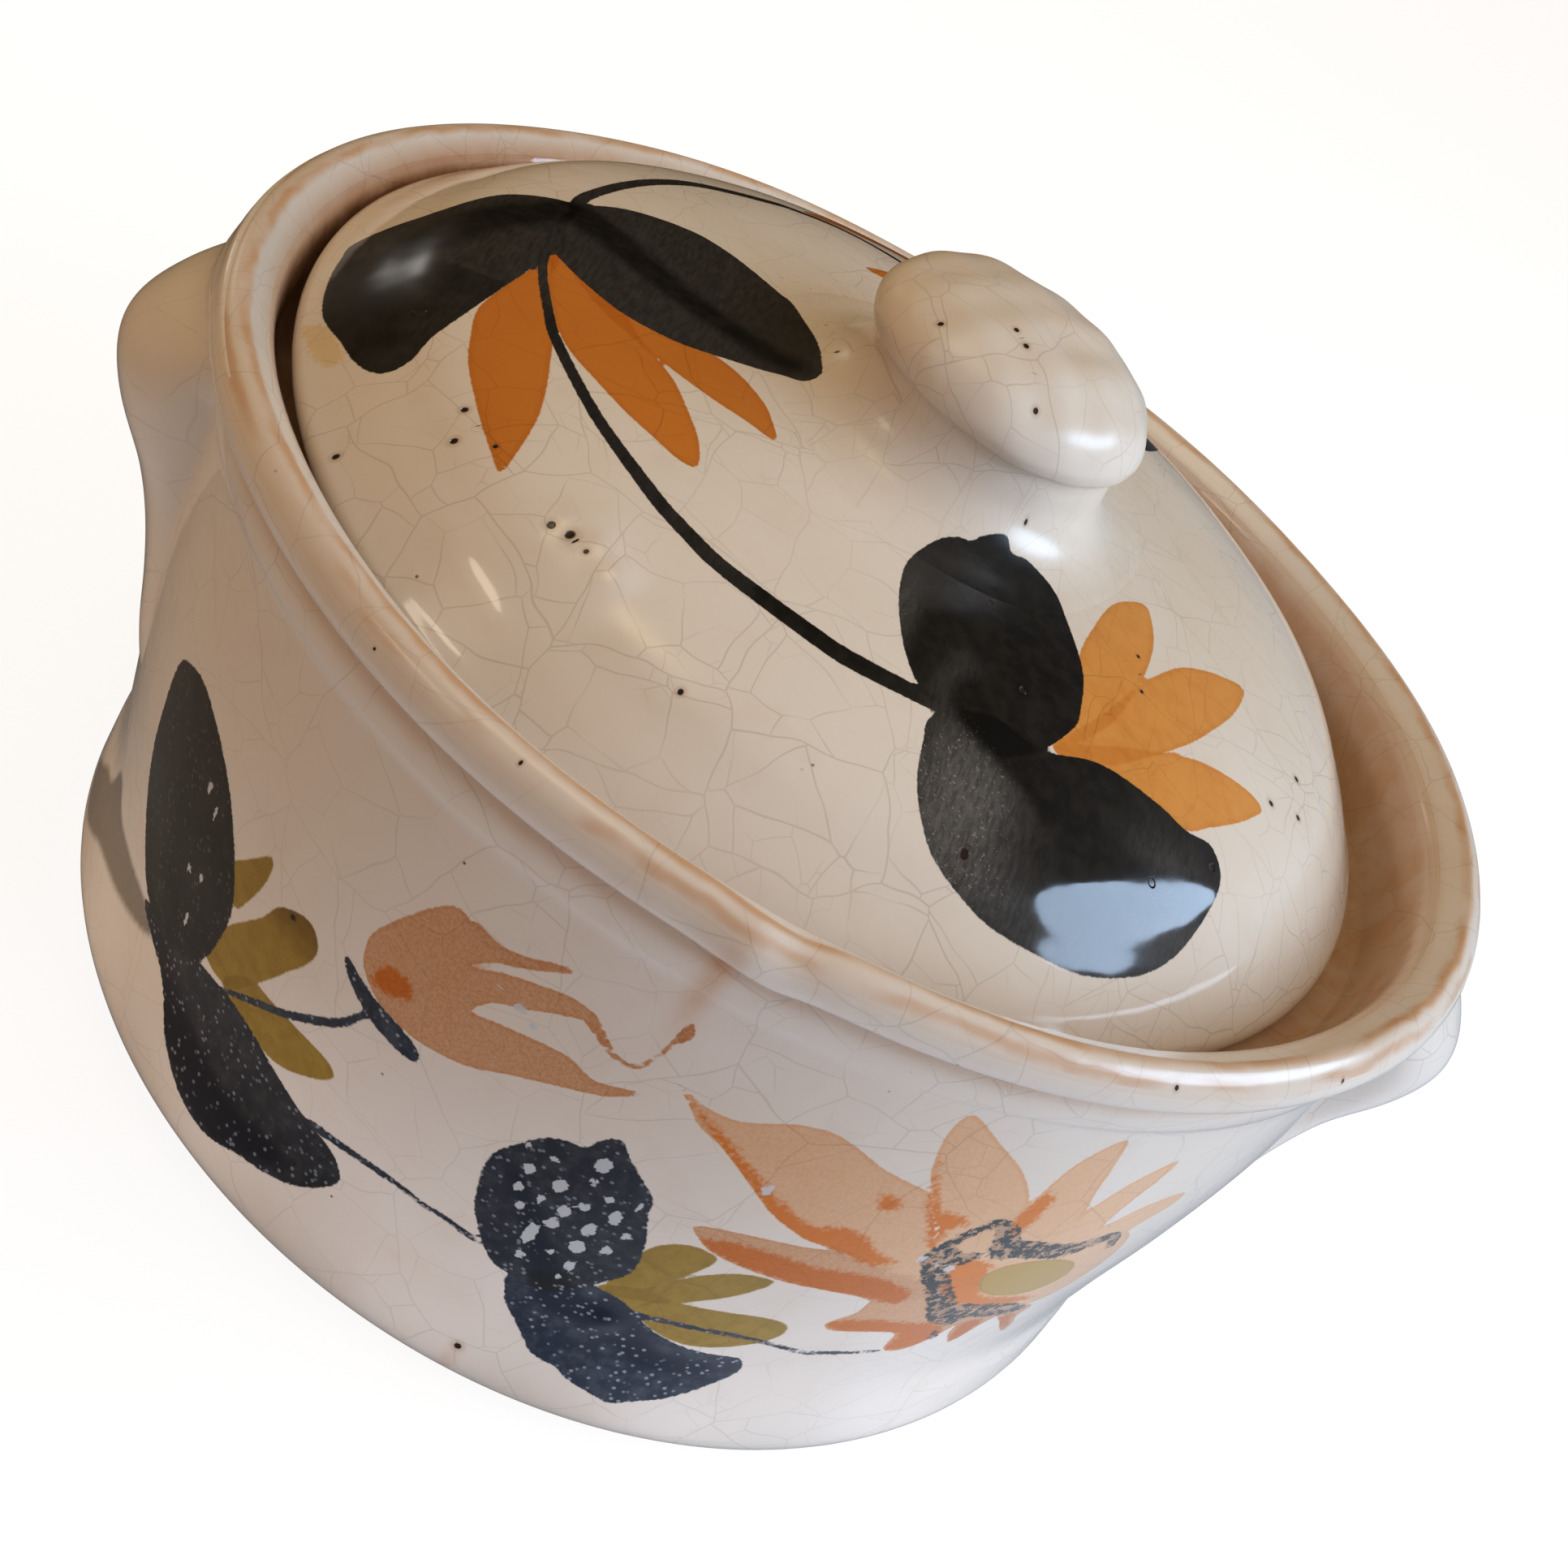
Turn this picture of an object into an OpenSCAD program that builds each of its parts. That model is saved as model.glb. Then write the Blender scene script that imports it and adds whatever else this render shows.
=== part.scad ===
// Round lidded casserole in glazed earthenware: a waisted pot with a rolled lip and two lugs,
// and a domed lid with a mushroom knob that drops into a ledge inside the lip.
// Millimetres. Z is up, the origin is on the table under the middle of the pot, and the lugs
// point along -X and +X, both turned a little towards -Y, the front.

/* [Pot] */
// Diameter of the rim, measured along its crest
rim_d = 210; // [180:2:240]
// Height of the rim's crest above the table
pot_h = 110; // [95:1:130]
// Thickness of the wall
wall_t = 8.5; // [7:0.5:10]
// Thickness of the floor
floor_t = 8; // [6:0.5:10]
// Depth of the waist: how far the narrowest part is inside the rim's crest
waist_in = 7.8; // [5:0.2:9]
// How far the bulge at the bottom stands out from the waist
bulge_out = 1.2; // [0:0.2:3]
// Outer diameter of the unglazed foot ring
foot_d = 172; // [150:2:176]
// Height of the foot ring
foot_h = 1.4; // [1:0.2:3]

/* [Rim and ledge] */
// Radius of the rolled lip
lip_r = 4; // [3:0.25:4.5]
// Depth of the lid's ledge below the crest
ledge_drop = 18.6; // [18.6:0.2:24]
// Width of the ledge, from the gallery wall to the mouth
ledge_w = 10; // [9:0.5:12]

/* [Lid] */
// How much smaller the lid's radius is than the crest's
lid_in = 11; // [11:0.5:13]
// Thickness of the lid at its edge
lid_edge_t = 5; // [4:0.5:6]
// Rise of the dome above the middle of the edge
lid_rise = 26; // [18:1:30]
// Thickness of the dome
lid_t = 6; // [5:0.5:7]
// How the loose lid lies: 0 level and centred, 1 slid against the gallery wall and out of level
lid_askew = 1; // [0:0.1:1]
// Direction of the lid's low side, in degrees from +X
lid_low_side = -32; // [-180:1:180]

/* [Knob] */
// Diameter of the knob's cap
knob_d = 46; // [36:1:56]
// Height of the knob above the top of the dome
knob_h = 23.4; // [22:0.2:30]
// Radius of the knob's neck
neck_r = 20; // [14:0.5:21]

/* [Lugs] */
// How far each lug's tip stands out from the rim's crest
lug_out = 12.4; // [8:0.2:18]
// Radius of a lug seen from above
lug_r = 23.7; // [20:0.1:30]
// Turn of each lug towards the front, in degrees
lug_turn = 11.5; // [0:0.5:20]
// How much lower the right lug was set than the left one
lug_drop = 1.7; // [0:0.1:4]

/* [Hidden] */
$fn = 96;

glaze_white = "#cfc8c4";
glaze_ivory = "#cdc0ac";

rim_r = rim_d / 2;
waist_r = rim_r - waist_in;
bulge_r = waist_r + bulge_out;
neck_wall_r = rim_r - 2;
foot_r = foot_d / 2;
foot_ring_w = 14;
foot_hollow = 1.6;
heel_r = 8;
heel = [bulge_r - heel_r, foot_h + heel_r];
lip_mid = [rim_r - 1.7, pot_h + 0.4 - lip_r];
collar_z = pot_h - 14;
crease = [rim_r - 1.2, pot_h - 7.4];
lip_edge = [rim_r - 6, pot_h - 2];
gallery_r = rim_r - 8;
mouth_r = gallery_r - ledge_w;
ledge_z = pot_h - ledge_drop;
shelf_t = 5;

lid_r = rim_r - lid_in;
lid_tilt = 3.6 * lid_askew;
lid_shift = 2.8 * lid_askew;
seat_gap = 0.3;
// Height of the middle of the lid's edge when its low side rests on the ledge
lid_z = ledge_z + seat_gap + lid_edge_t / 2 + lid_r * sin(lid_tilt);
shoulder_r = lid_r - 17;
knob_r = knob_d / 2;

// Points of an arc round c, from angle a to angle b, in n steps
function arc(c, r, a, b, n = 8) = [for (k = [0:n]) let (t = a + (b - a) * k / n) c + r * [cos(t), sin(t)]];

// A smooth run through the points p, with n steps in each span
function spline(a, b, c, d, t) =
    0.5 * (2 * b + (c - a) * t + (2 * a - 5 * b + 4 * c - d) * t * t + (3 * b - a - 3 * c + d) * t * t * t);
function smooth(p, n = 3) = [
    for (i = [0:len(p) - 2]) for (k = [0:n - 1])
        spline(p[max(i - 1, 0)], p[i], p[i + 1], p[min(i + 2, len(p) - 1)], k / n),
    p[len(p) - 1]
];

// Outside of the pot, from the foot up over the heel, waist and collar to the lip's crest
function outside() = concat(
    [[foot_r, 0], [foot_r, foot_h]],
    arc(heel, heel_r, -90, 0, 6),
    smooth([
        [bulge_r - 0.4, pot_h * 0.15],
        [waist_r, pot_h * 0.23],
        [waist_r + 1.6, pot_h * 0.36],
        [waist_r + 3.8, pot_h * 0.50],
        [neck_wall_r - 0.4, pot_h * 0.66],
        [neck_wall_r, collar_z - 3]
    ]),
    smooth([[neck_wall_r + 0.8, collar_z], [neck_wall_r + 1.3, collar_z + 3.5], crease], 2),
    arc(lip_mid, lip_r, -45, 90)
);

// Inside, from the lip down the gallery wall, over the ledge and down to the floor
function inside() = concat(
    smooth([lip_edge + [2, 0.9], lip_edge, [gallery_r + 0.5, pot_h - 4]], 2),
    [[gallery_r, ledge_z + 5], [gallery_r - 1.4, ledge_z + 1], [gallery_r - 3, ledge_z]],
    arc([mouth_r + 1.5, ledge_z - 1.5], 1.5, 90, 180, 4),
    smooth([
        [mouth_r + 0.2, ledge_z - shelf_t],
        [neck_wall_r - wall_t - 0.5, ledge_z - shelf_t - 11],
        [waist_r + 3.8 - wall_t, pot_h * 0.46],
        [waist_r - wall_t, pot_h * 0.24],
        [waist_r - wall_t - 1, floor_t + 8],
        [waist_r - wall_t - 4, floor_t + 2.5],
        [waist_r - wall_t - 9, floor_t]
    ]),
    [[0, floor_t]]
);

// Underside: a shallow hollow inside the foot ring
function underside() = [
    [0, foot_hollow],
    [foot_r - foot_ring_w, foot_hollow],
    [foot_r - foot_ring_w + 1.5, 0]
];

module pot_envelope() {
    rotate_extrude() polygon(concat([[0, 0]], outside(), [[0, pot_h + 0.4]]));
}

module pot_body() {
    color(glaze_white) rotate_extrude() polygon(concat(outside(), inside(), underside()));
}

// How far a lug reaches out at each level below the crest, as a share of its tip's reach
lug_reach = [[-5, 0.37], [-9, 0.5], [-13, 0.78], [-20, 1], [-27, 0.87], [-34, 0.57], [-42, 0.33], [-50, 0.13], [-60, 0]];

// One lug: an ear that is round from above, leans out from under the lip, and sweeps back into
// the wall below. Its inner side is cut to the shape of the wall.
module lug(drop) {
    root_r = rim_r - 3.5;
    tip_r = rim_r + lug_out;
    ear = smooth([
        [lug_r - 13, -5],
        [lug_r - 6, -9],
        [lug_r - 1.5, -14],
        [lug_r, -20],
        [lug_r - 0.8, -32],
        [lug_r - 4, -46],
        [lug_r - 14, -58]
    ]);
    sweep = smooth([for (p = lug_reach) [root_r + (tip_r - root_r) * p[1], p[0]]]);
    color(glaze_white) difference() {
        translate([0, 0, pot_h - drop]) intersection() {
            translate([tip_r - lug_r, 0, 0]) rotate_extrude() polygon(concat([[0, -5]], ear, [[0, -58]]));
            rotate_extrude() polygon(concat([[root_r - 20, -5]], sweep, [[root_r - 20, -60]]));
        }
        pot_envelope();
    }
}

module lug_left() {
    rotate([0, 0, 180 + lug_turn]) lug(0);
}

module lug_right() {
    rotate([0, 0, -lug_turn]) lug(lug_drop);
}

// Moves a piece made round the middle of the lid's edge to where the lid lies in the pot
module on_seat() {
    rotate([0, 0, lid_low_side]) translate([-lid_shift, 0, lid_z]) rotate([0, lid_tilt, 0]) children();
}

// Top of the lid, from its edge over the shoulder to the middle
function lid_top() = concat(
    arc([lid_r - lid_edge_t / 2, 0], lid_edge_t / 2, -90, 30, 5),
    smooth([
        [lid_r - 2, lid_rise * 0.10],
        [lid_r - 9, lid_rise * 0.36],
        [shoulder_r, lid_rise * 0.585],
        [shoulder_r - 15, lid_rise * 0.76],
        [shoulder_r * 0.55, lid_rise * 0.88],
        [shoulder_r * 0.25, lid_rise * 0.98]
    ], 2),
    [[0, lid_rise]]
);

// Hollow under the lid, from the middle out to the flat ring that rests on the ledge
function lid_hollow() = concat(
    [[0, lid_rise - lid_t]],
    smooth([
        [shoulder_r * 0.25, lid_rise * 0.98 - lid_t],
        [shoulder_r * 0.55, lid_rise * 0.88 - lid_t],
        [shoulder_r - 16, lid_rise * 0.72 - lid_t],
        [shoulder_r - 2, lid_rise * 0.52 - lid_t],
        [lid_r - 10, -lid_edge_t / 2]
    ], 2)
);

module lid_dome() {
    color(glaze_ivory) on_seat() rotate_extrude() polygon(concat(lid_top(), lid_hollow()));
}

module lid_knob() {
    top = lid_rise + knob_h;
    cap_z = top - 10.3;
    outline = concat(
        smooth([
            [neck_r + 13, lid_rise - 3],
            [neck_r + 7, lid_rise + 0.6],
            [neck_r + 2, lid_rise + 4],
            [neck_r, lid_rise + 8],
            [neck_r + 0.8, cap_z - 2.8]
        ]),
        smooth([
            [knob_r - 0.5, cap_z - 1.5],
            [knob_r, cap_z],
            [knob_r - 0.6, cap_z + 2.6],
            [knob_r - 3, cap_z + 5.6],
            [knob_r - 9, cap_z + 8.4],
            [knob_r - 16, cap_z + 9.9]
        ]),
        [[0, top]]
    );
    color(glaze_ivory) on_seat() difference() {
        rotate_extrude() polygon(concat([[0, lid_rise - 3]], outline));
        rotate_extrude() polygon(concat([[0, -lid_edge_t / 2]], lid_top()));
    }
}

pot_body();
lug_left();
lug_right();
lid_dome();
lid_knob();
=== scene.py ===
"""Hand-painted faience casserole: its looks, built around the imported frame."""

import math

import bpy
import numpy as np
from mathutils import Matrix, Vector


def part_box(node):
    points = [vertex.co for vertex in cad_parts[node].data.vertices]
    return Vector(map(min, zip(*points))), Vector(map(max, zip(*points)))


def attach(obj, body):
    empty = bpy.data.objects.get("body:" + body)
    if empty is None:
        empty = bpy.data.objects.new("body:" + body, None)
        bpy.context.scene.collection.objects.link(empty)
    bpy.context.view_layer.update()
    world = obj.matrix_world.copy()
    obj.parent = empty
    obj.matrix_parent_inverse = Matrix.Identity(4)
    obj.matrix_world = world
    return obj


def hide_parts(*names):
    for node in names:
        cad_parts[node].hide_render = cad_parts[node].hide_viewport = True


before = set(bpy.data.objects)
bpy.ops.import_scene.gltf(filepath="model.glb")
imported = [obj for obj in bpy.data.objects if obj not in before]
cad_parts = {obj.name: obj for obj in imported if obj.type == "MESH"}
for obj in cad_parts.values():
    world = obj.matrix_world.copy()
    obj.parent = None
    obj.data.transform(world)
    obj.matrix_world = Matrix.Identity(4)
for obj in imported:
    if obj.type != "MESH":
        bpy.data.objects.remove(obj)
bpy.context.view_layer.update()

MM = 0.001

# Sizes of the pot and the lid in millimetres, as in the CAD source; the rim and the height are
# read back from the frame.
pot_low, pot_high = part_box("pot_body")
RIM_TOP = (pot_high.z - pot_low.z) / MM
CREST_R = (pot_high.x - pot_low.x) / MM / 2 - 2.3
POT_H = RIM_TOP - 0.4
WALL_MM_PER_DEG = 1.76
LID_R = CREST_R - 11
LID_TILT = math.radians(3.6)
LID_SHIFT = 2.8
LID_LOW_SIDE = math.radians(-32)
LID_Z = POT_H - 18.6 + 0.3 + 2.5 + LID_R * math.sin(LID_TILT)


# ---------------------------------------------------------------- curves and surfaces

def catmull(points, steps, closed=False):
    """A smooth run through given points, with so many steps in each span."""
    p = np.asarray(points, float)
    n = len(p)
    spans = n if closed else n - 1
    out = []
    for i in range(spans):
        if closed:
            a, b, c, d = p[i - 1], p[i], p[(i + 1) % n], p[(i + 2) % n]
        else:
            a, b, c, d = p[max(i - 1, 0)], p[i], p[i + 1], p[min(i + 2, n - 1)]
        t = (np.arange(steps) / steps)[:, None]
        out.append(0.5 * (2 * b + (c - a) * t + (2 * a - 5 * b + 4 * c - d) * t**2
                          + (3 * b - a - 3 * c + d) * t**3))
    if not closed:
        out.append(p[-1:])
    return np.concatenate(out)


def arc(centre, radius, start, end, steps=10):
    """Points of an arc in a profile, from one angle to another, in degrees."""
    t = np.radians(np.linspace(start, end, steps + 1))
    return np.column_stack([centre[0] + radius * np.cos(t), centre[1] + radius * np.sin(t)])


def spaced(curve, step):
    """The same curve with its points a step apart, both ends kept."""
    keep = np.r_[True, np.hypot(*np.diff(curve, axis=0).T) > 1e-6]
    curve = curve[keep]
    along = np.r_[0, np.cumsum(np.hypot(*np.diff(curve, axis=0).T))]
    count = max(int(round(along[-1] / step)), 1)
    at = np.linspace(0, along[-1], count + 1)
    return np.column_stack([np.interp(at, along, curve[:, k]) for k in range(2)])


def joined(*parts):
    """One profile from several runs, without the doubled points where they meet."""
    out = [parts[0]]
    for part in parts[1:]:
        same = np.hypot(*(part[0] - out[-1][-1])) < 1e-6
        out.append(part[1:] if same else part)
    return np.concatenate(out)


def run_length(profile):
    """Distance along a profile from its start to each of its points."""
    return np.r_[0, np.cumsum(np.hypot(*np.diff(profile, axis=0).T))]


def turned(angle):
    c, s = math.cos(angle), math.sin(angle)
    return np.array([[c, -s, 0], [s, c, 0], [0, 0, 1]])


def tilted(angle):
    c, s = math.cos(angle), math.sin(angle)
    return np.array([[c, 0, s], [0, 1, 0], [-s, 0, c]])


def on_seat(points):
    """Puts points round the middle of the lid's edge where the lid lies in the pot."""
    low = turned(LID_LOW_SIDE)
    tipped = points @ low @ tilted(LID_TILT).T + np.array([-LID_SHIFT, 0, LID_Z])
    return tipped @ low.T


def mesh_object(name, points, faces, body, node):
    """A smooth-shaded closed mesh in millimetres that stands for a CAD node."""
    mesh = bpy.data.meshes.new(name)
    mesh.from_pydata((points * MM).tolist(), [], faces)
    mesh.validate()
    mesh.polygons.foreach_set("use_smooth", np.ones(len(mesh.polygons), bool))
    piece = bpy.data.objects.new(name, mesh)
    bpy.context.scene.collection.objects.link(piece)
    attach(piece, body)
    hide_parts(node)
    return piece


def revolved(profile, angles):
    """Rings of points round Z for a closed profile that starts and ends on the axis, and faces."""
    rows, columns = len(profile) - 2, len(angles)
    r = np.repeat(profile[1:-1, 0], columns)
    z = np.repeat(profile[1:-1, 1], columns)
    a = np.tile(angles, rows)
    first, last = rows * columns, rows * columns + 1
    r = np.r_[r, 0, 0]
    z = np.r_[z, profile[0, 1], profile[-1, 1]]
    a = np.r_[a, 0, 0]
    i, j = np.meshgrid(np.arange(rows - 1), np.arange(columns), indexing="ij")
    here = i * columns + j
    there = i * columns + (j + 1) % columns
    quads = np.stack([here, there, there + columns, here + columns], -1).reshape(-1, 4)
    faces = quads.tolist()
    for k in range(columns):
        n = (k + 1) % columns
        faces.append([first, n, k])
        faces.append([last, (rows - 1) * columns + k, (rows - 1) * columns + n])
    return r, a, z, faces


def placed(r, a, z):
    return np.column_stack([r * np.cos(a), r * np.sin(a), z])


def ripple(a, z, size):
    """Slow unevenness of hand-thrown clay, in millimetres."""
    return size * (0.5 * np.sin(2 * a + 0.7) + 0.3 * np.sin(3 * a - 1.1 + z * 0.03)
                   + 0.2 * np.sin(5 * a + 2.3 - z * 0.05))


def hump(distance, width):
    """A smooth bump that is 1 in the middle and dies away over the width."""
    return np.exp(-(distance / width) ** 2)


# ---------------------------------------------------------------- the pot

OUTSIDE = joined(
    np.array([[0, 1.6], [72, 1.6], [73.5, 0], [86, 0], [86, 1.4]]),
    arc((90.2, 9.4), 8, -90, 0),
    catmull([(98.2, 9.4), (97.8, 16.5), (97.2, 25.3), (98.8, 39.6), (101, 55), (102.6, 72.6),
             (103, 93), (103.8, 96), (104.3, 99.5), (103.8, 102.6)], 8),
    arc((103.3, 106.4), 4, -45, 90),
)
INSIDE = joined(
    catmull([(103.3, 110.4), (101.5, 109.1), (99.9, 108), (98.4, 106), (97.5, 101), (97.1, 96.4), (95.6, 92.4),
             (94, 91.4)], 6),
    arc((88.5, 89.9), 1.5, 90, 180),
    catmull([(87, 89.9), (87.2, 86.4), (94, 75.4), (92.5, 50.6), (88.7, 26.4), (87.7, 16), (84.7, 10.5),
             (79.7, 8)], 8),
    np.array([[79.7, 8], [40, 8], [0, 8]]),
)
wall_curve = OUTSIDE[5:]
WALL_Z, WALL_R = wall_curve[:, 1], wall_curve[:, 0]
DENT_AT = math.radians(-93.4)


def wall_radius(z):
    return np.interp(z, WALL_Z, WALL_R)


def pot_shape(r, a, z):
    """The thrown shape with its unevenness: the wall waves a little, and the lip has one dent."""
    side = np.clip(z / 20, 0, 1) * np.clip(r / 60, 0, 1)
    out = r + side * ripple(a, z, 0.35)
    turn = (a - DENT_AT + math.pi) % (2 * math.pi) - math.pi
    near = hump(turn * CREST_R, 5)
    lip = np.clip((z - 99) / 6, 0, 1) * np.clip((r - 99) / 4, 0, 1)
    out = out + 0.9 * near * lip
    # A blob of thick paint on the lowest leaf
    blob = (a - math.radians(-84.2) + math.pi) % (2 * math.pi) - math.pi
    out = out + 0.6 * hump(np.hypot(blob * 98, z - 29.3), 2.3) * (r > 90)
    rise = 0.35 * np.sin(3 * a + 1) + 0.25 * np.sin(7 * a)
    up = z + np.clip((z - 95) / 12, 0, 1) * (rise - 0.35) - 0.9 * lip * hump((turn - 0.05) * CREST_R, 4)
    return out, a, up


def column_angles():
    """Columns from behind the left lug once round, finer where the front is painted."""
    front = np.radians(np.linspace(-168.45, -42, 244)[:-1])
    back = np.radians(np.linspace(-42, 191.55, 248)[:-1])
    return np.concatenate([front, back])


def build_pot():
    outer = spaced(OUTSIDE[:2], 9)
    foot = joined(OUTSIDE[1:5])
    wall = spaced(OUTSIDE[4:], 1.05)
    inner = joined(spaced(INSIDE[:59], 1.1), spaced(INSIDE[58:], 3.2))
    profile = joined(outer, foot, wall, inner)
    profile[0, 0] = 0
    profile[-1, 0] = 0
    r, a, z, faces = revolved(profile, column_angles())
    shape = pot_shape(r, a, z)
    points = placed(*shape)
    piece = mesh_object("pot_clay", points, faces, "pot", "pot_body")
    rows, columns = len(profile) - 2, len(column_angles())
    past_crest = np.arange(1, rows + 1) > len(outer) + len(foot) + len(wall) - 4
    inside = np.r_[np.repeat(past_crest, columns), False, True].astype(float)
    run = run_length(profile)
    run = np.r_[np.repeat(run[1:-1], columns), run[0], run[-1]]
    return piece, np.degrees(a), z, r, inside, run


# Reach of a lug beyond the collar at each level below the crest
LUG_REACH = [(-72, -13), (-66, -6.5), (-60, -2), (-50, 1.9), (-42, 5.2), (-34, 9.1), (-26, 14.3), (-19, 15.9), (-13, 12.3),
             (-9, 7.8), (-5, 5.2), (-3, 1), (0, -6)]
LUG_ROOT_R = 101.5
LUG_HALF_W = 22.4


def build_lug(name, node, centre_deg, drop):
    """A lug as a patch of the wall that swells out, closed behind inside the wall."""
    s = np.linspace(-34, 34, 137)
    z = np.linspace(POT_H - 71, POT_H - 1.5, 135)
    S, Z = np.meshgrid(s, z)
    soft = catmull(LUG_REACH, 6)
    reach = np.interp(Z - POT_H + drop, soft[:, 0], soft[:, 1])
    share = np.clip(1 - np.abs(S / LUG_HALF_W) ** 1.9, 0, 1) ** (1 / 1.9)
    beside = np.clip((np.abs(S) - 18) / 10, 0, 1)
    ear = LUG_ROOT_R + np.minimum(reach, 0) + np.maximum(reach, 0) * share - 9 * beside ** 2
    kernel = np.exp(-(np.arange(-5, 6) / 2.2) ** 2)
    kernel /= kernel.sum()
    for axis in (0, 1):
        ear = np.apply_along_axis(lambda v: np.convolve(np.pad(v, 5, "edge"), kernel, "valid"), axis, ear)
    a = math.radians(centre_deg) + S / 100
    base, _, _ = pot_shape(wall_radius(Z), a, Z)
    fillet = 5.0
    h = np.clip(fillet - np.abs(base - ear), 0, None) / fillet
    radius = np.maximum(base, ear) + h * h * fillet / 4 - 0.25
    rows, columns = radius.shape
    front = placed(radius.ravel(), a.ravel(), Z.ravel())
    back = placed((base - 4).ravel(), a.ravel(), Z.ravel())
    points = np.concatenate([front, back])
    n = rows * columns
    faces = []
    for i in range(rows - 1):
        for j in range(columns - 1):
            p = i * columns + j
            faces.append([p, p + 1, p + columns + 1, p + columns])
            faces.append([n + p, n + p + columns, n + p + columns + 1, n + p + 1])
    for j in range(columns - 1):
        top = (rows - 1) * columns + j
        faces.append([j, n + j, n + j + 1, j + 1])
        faces.append([top, top + 1, n + top + 1, n + top])
    for i in range(rows - 1):
        p, q = i * columns, (i + 1) * columns
        e, f = p + columns - 1, q + columns - 1
        faces.append([p, q, n + q, n + p])
        faces.append([e, n + e, n + f, f])
    piece = mesh_object(name, points, faces, "pot", node)
    zz = np.concatenate([Z.ravel(), Z.ravel()])
    aa = np.degrees(np.concatenate([a.ravel(), a.ravel()]))
    chart = np.column_stack([aa * WALL_MM_PER_DEG, zz, 0 * zz])
    return piece, aa, zz, chart


# ---------------------------------------------------------------- the lid and its knob

LID_TOP = joined(
    catmull([(0, 26), (19.25, 25.5), (42.35, 22.9), (62, 19.8), (77, 15.2), (85, 9.4), (92, 2.6)], 10),
    arc((91.5, 0), 2.5, 30, -90),
)
LID_UNDER = catmull([(91.5, -2.5), (84, -2.5), (75, 7.5), (61, 12.7), (42.35, 16.9), (19.25, 19.5), (0, 20)], 8)


def lid_height(r):
    return np.interp(r, LID_TOP[:61, 0], LID_TOP[:61, 1])


def lid_relief(x, y, r):
    """The lid's unevenness: slow waves, a blister by the pinholes and a long low ridge."""
    a = np.arctan2(y, x)
    wave = 0.3 * np.sin(2 * a + 0.4) * (r / 94) ** 2 + 0.15 * np.sin(x * 0.11 + 1) * np.sin(y * 0.09)
    blister = 0.5 * hump(np.hypot(x + 42, y + 61.5), 5) + 0.7 * hump(np.hypot(x + 36.5, y + 66), 3)
    blister += 0.35 * hump(np.hypot(x + 39.5, y + 62.5), 1.8) - 0.4 * hump(np.hypot(x + 44, y + 63), 1.8)
    across = (x + 50) * 0.55 + (y + 69) * 0.83
    along = (x + 50) * 0.83 - (y + 69) * 0.55
    ridge = 0.45 * hump(across, 4) * hump(along, 16)
    return wave + blister + ridge


def build_lid():
    profile = joined(spaced(LID_TOP, 1.0), spaced(LID_UNDER, 3))
    profile[0, 0] = 0
    profile[-1, 0] = 0
    top_rows = len(spaced(LID_TOP, 1.0))
    angles = np.radians(np.arange(0, 360, 0.68))
    angles = angles[angles < 2 * math.pi - 1e-6]
    r, a, z, faces = revolved(profile, angles)
    faces = [f[::-1] for f in faces]
    x, y = r * np.cos(a), r * np.sin(a)
    row = np.arange(len(r)) // len(angles)
    on_top = (row < top_rows - 1) | (np.arange(len(r)) == len(r) - 2)
    edge = np.clip((93.5 - r) / 6, 0, 1)
    z = z + np.where(on_top, lid_relief(x, y, r) * edge, 0)
    points = on_seat(np.column_stack([x, y, z]))
    piece = mesh_object("lid_clay", points, faces, "lid", "lid_dome")
    run = run_length(profile)
    run = np.r_[np.repeat(run[1:-1], len(angles)), 0, 0]
    spread = np.where(on_top, run, r + 40)
    return piece, x, y, on_top, np.column_stack([spread * np.cos(a), spread * np.sin(a), 0 * a])


KNOB_OUTLINE = joined(
    np.array([[0, 22.2], [36.5, 22.6]]),
    catmull([(36.5, 22.6), (35.5, 23.6), (33, 24.2), (30, 24.8), (27, 25.8), (24.2, 27.5), (21.6, 30.4),
             (20.4, 33.5), (20.6, 36), (22.2, 37.4)], 8),
    catmull([(22.2, 37.4), (23, 39.3), (22.4, 41.9), (20, 44.7), (14, 47.6), (7, 49), (0, 49.4)], 8),
)


def build_knob():
    profile = spaced(KNOB_OUTLINE[::-1], 0.6)
    profile[0, 0] = 0
    profile[-1, 0] = 0
    angles = np.radians(np.arange(0, 360, 1.5))
    r, a, z, faces = revolved(profile, angles)
    faces = [f[::-1] for f in faces]
    run = run_length(profile)
    run = np.r_[np.repeat(run[1:-1], len(angles)), 0, run[-1]]
    chart = np.column_stack([run * np.cos(a), run * np.sin(a), 0 * a])
    cap = np.clip((z - 34) / 6, 0, 1)
    neck = hump(z - 33.5, 4.5)
    r = r * (1 + cap * (0.020 * np.sin(2 * a + 0.3) + 0.012 * np.sin(3 * a + 1.2)))
    r = r + neck * 1.7 * np.clip(np.cos(a + 0.1), 0, 1)
    x, y = r * np.cos(a), r * np.sin(a)
    z = z + cap * (0.5 * np.sin(x * 0.16 + 0.5) * np.cos(y * 0.14) - 0.9 * hump(x - 4, 6) * hump(y + 2, 5)
                   + 0.25 * np.sin(x * 0.5) * np.sin(y * 0.45 + 1))
    points = on_seat(np.column_stack([x, y, z]))
    piece = mesh_object("knob_clay", points, faces, "lid", "lid_knob")
    return piece, x, y, z, chart


# ---------------------------------------------------------------- painting

FAR = -8.0


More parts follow.
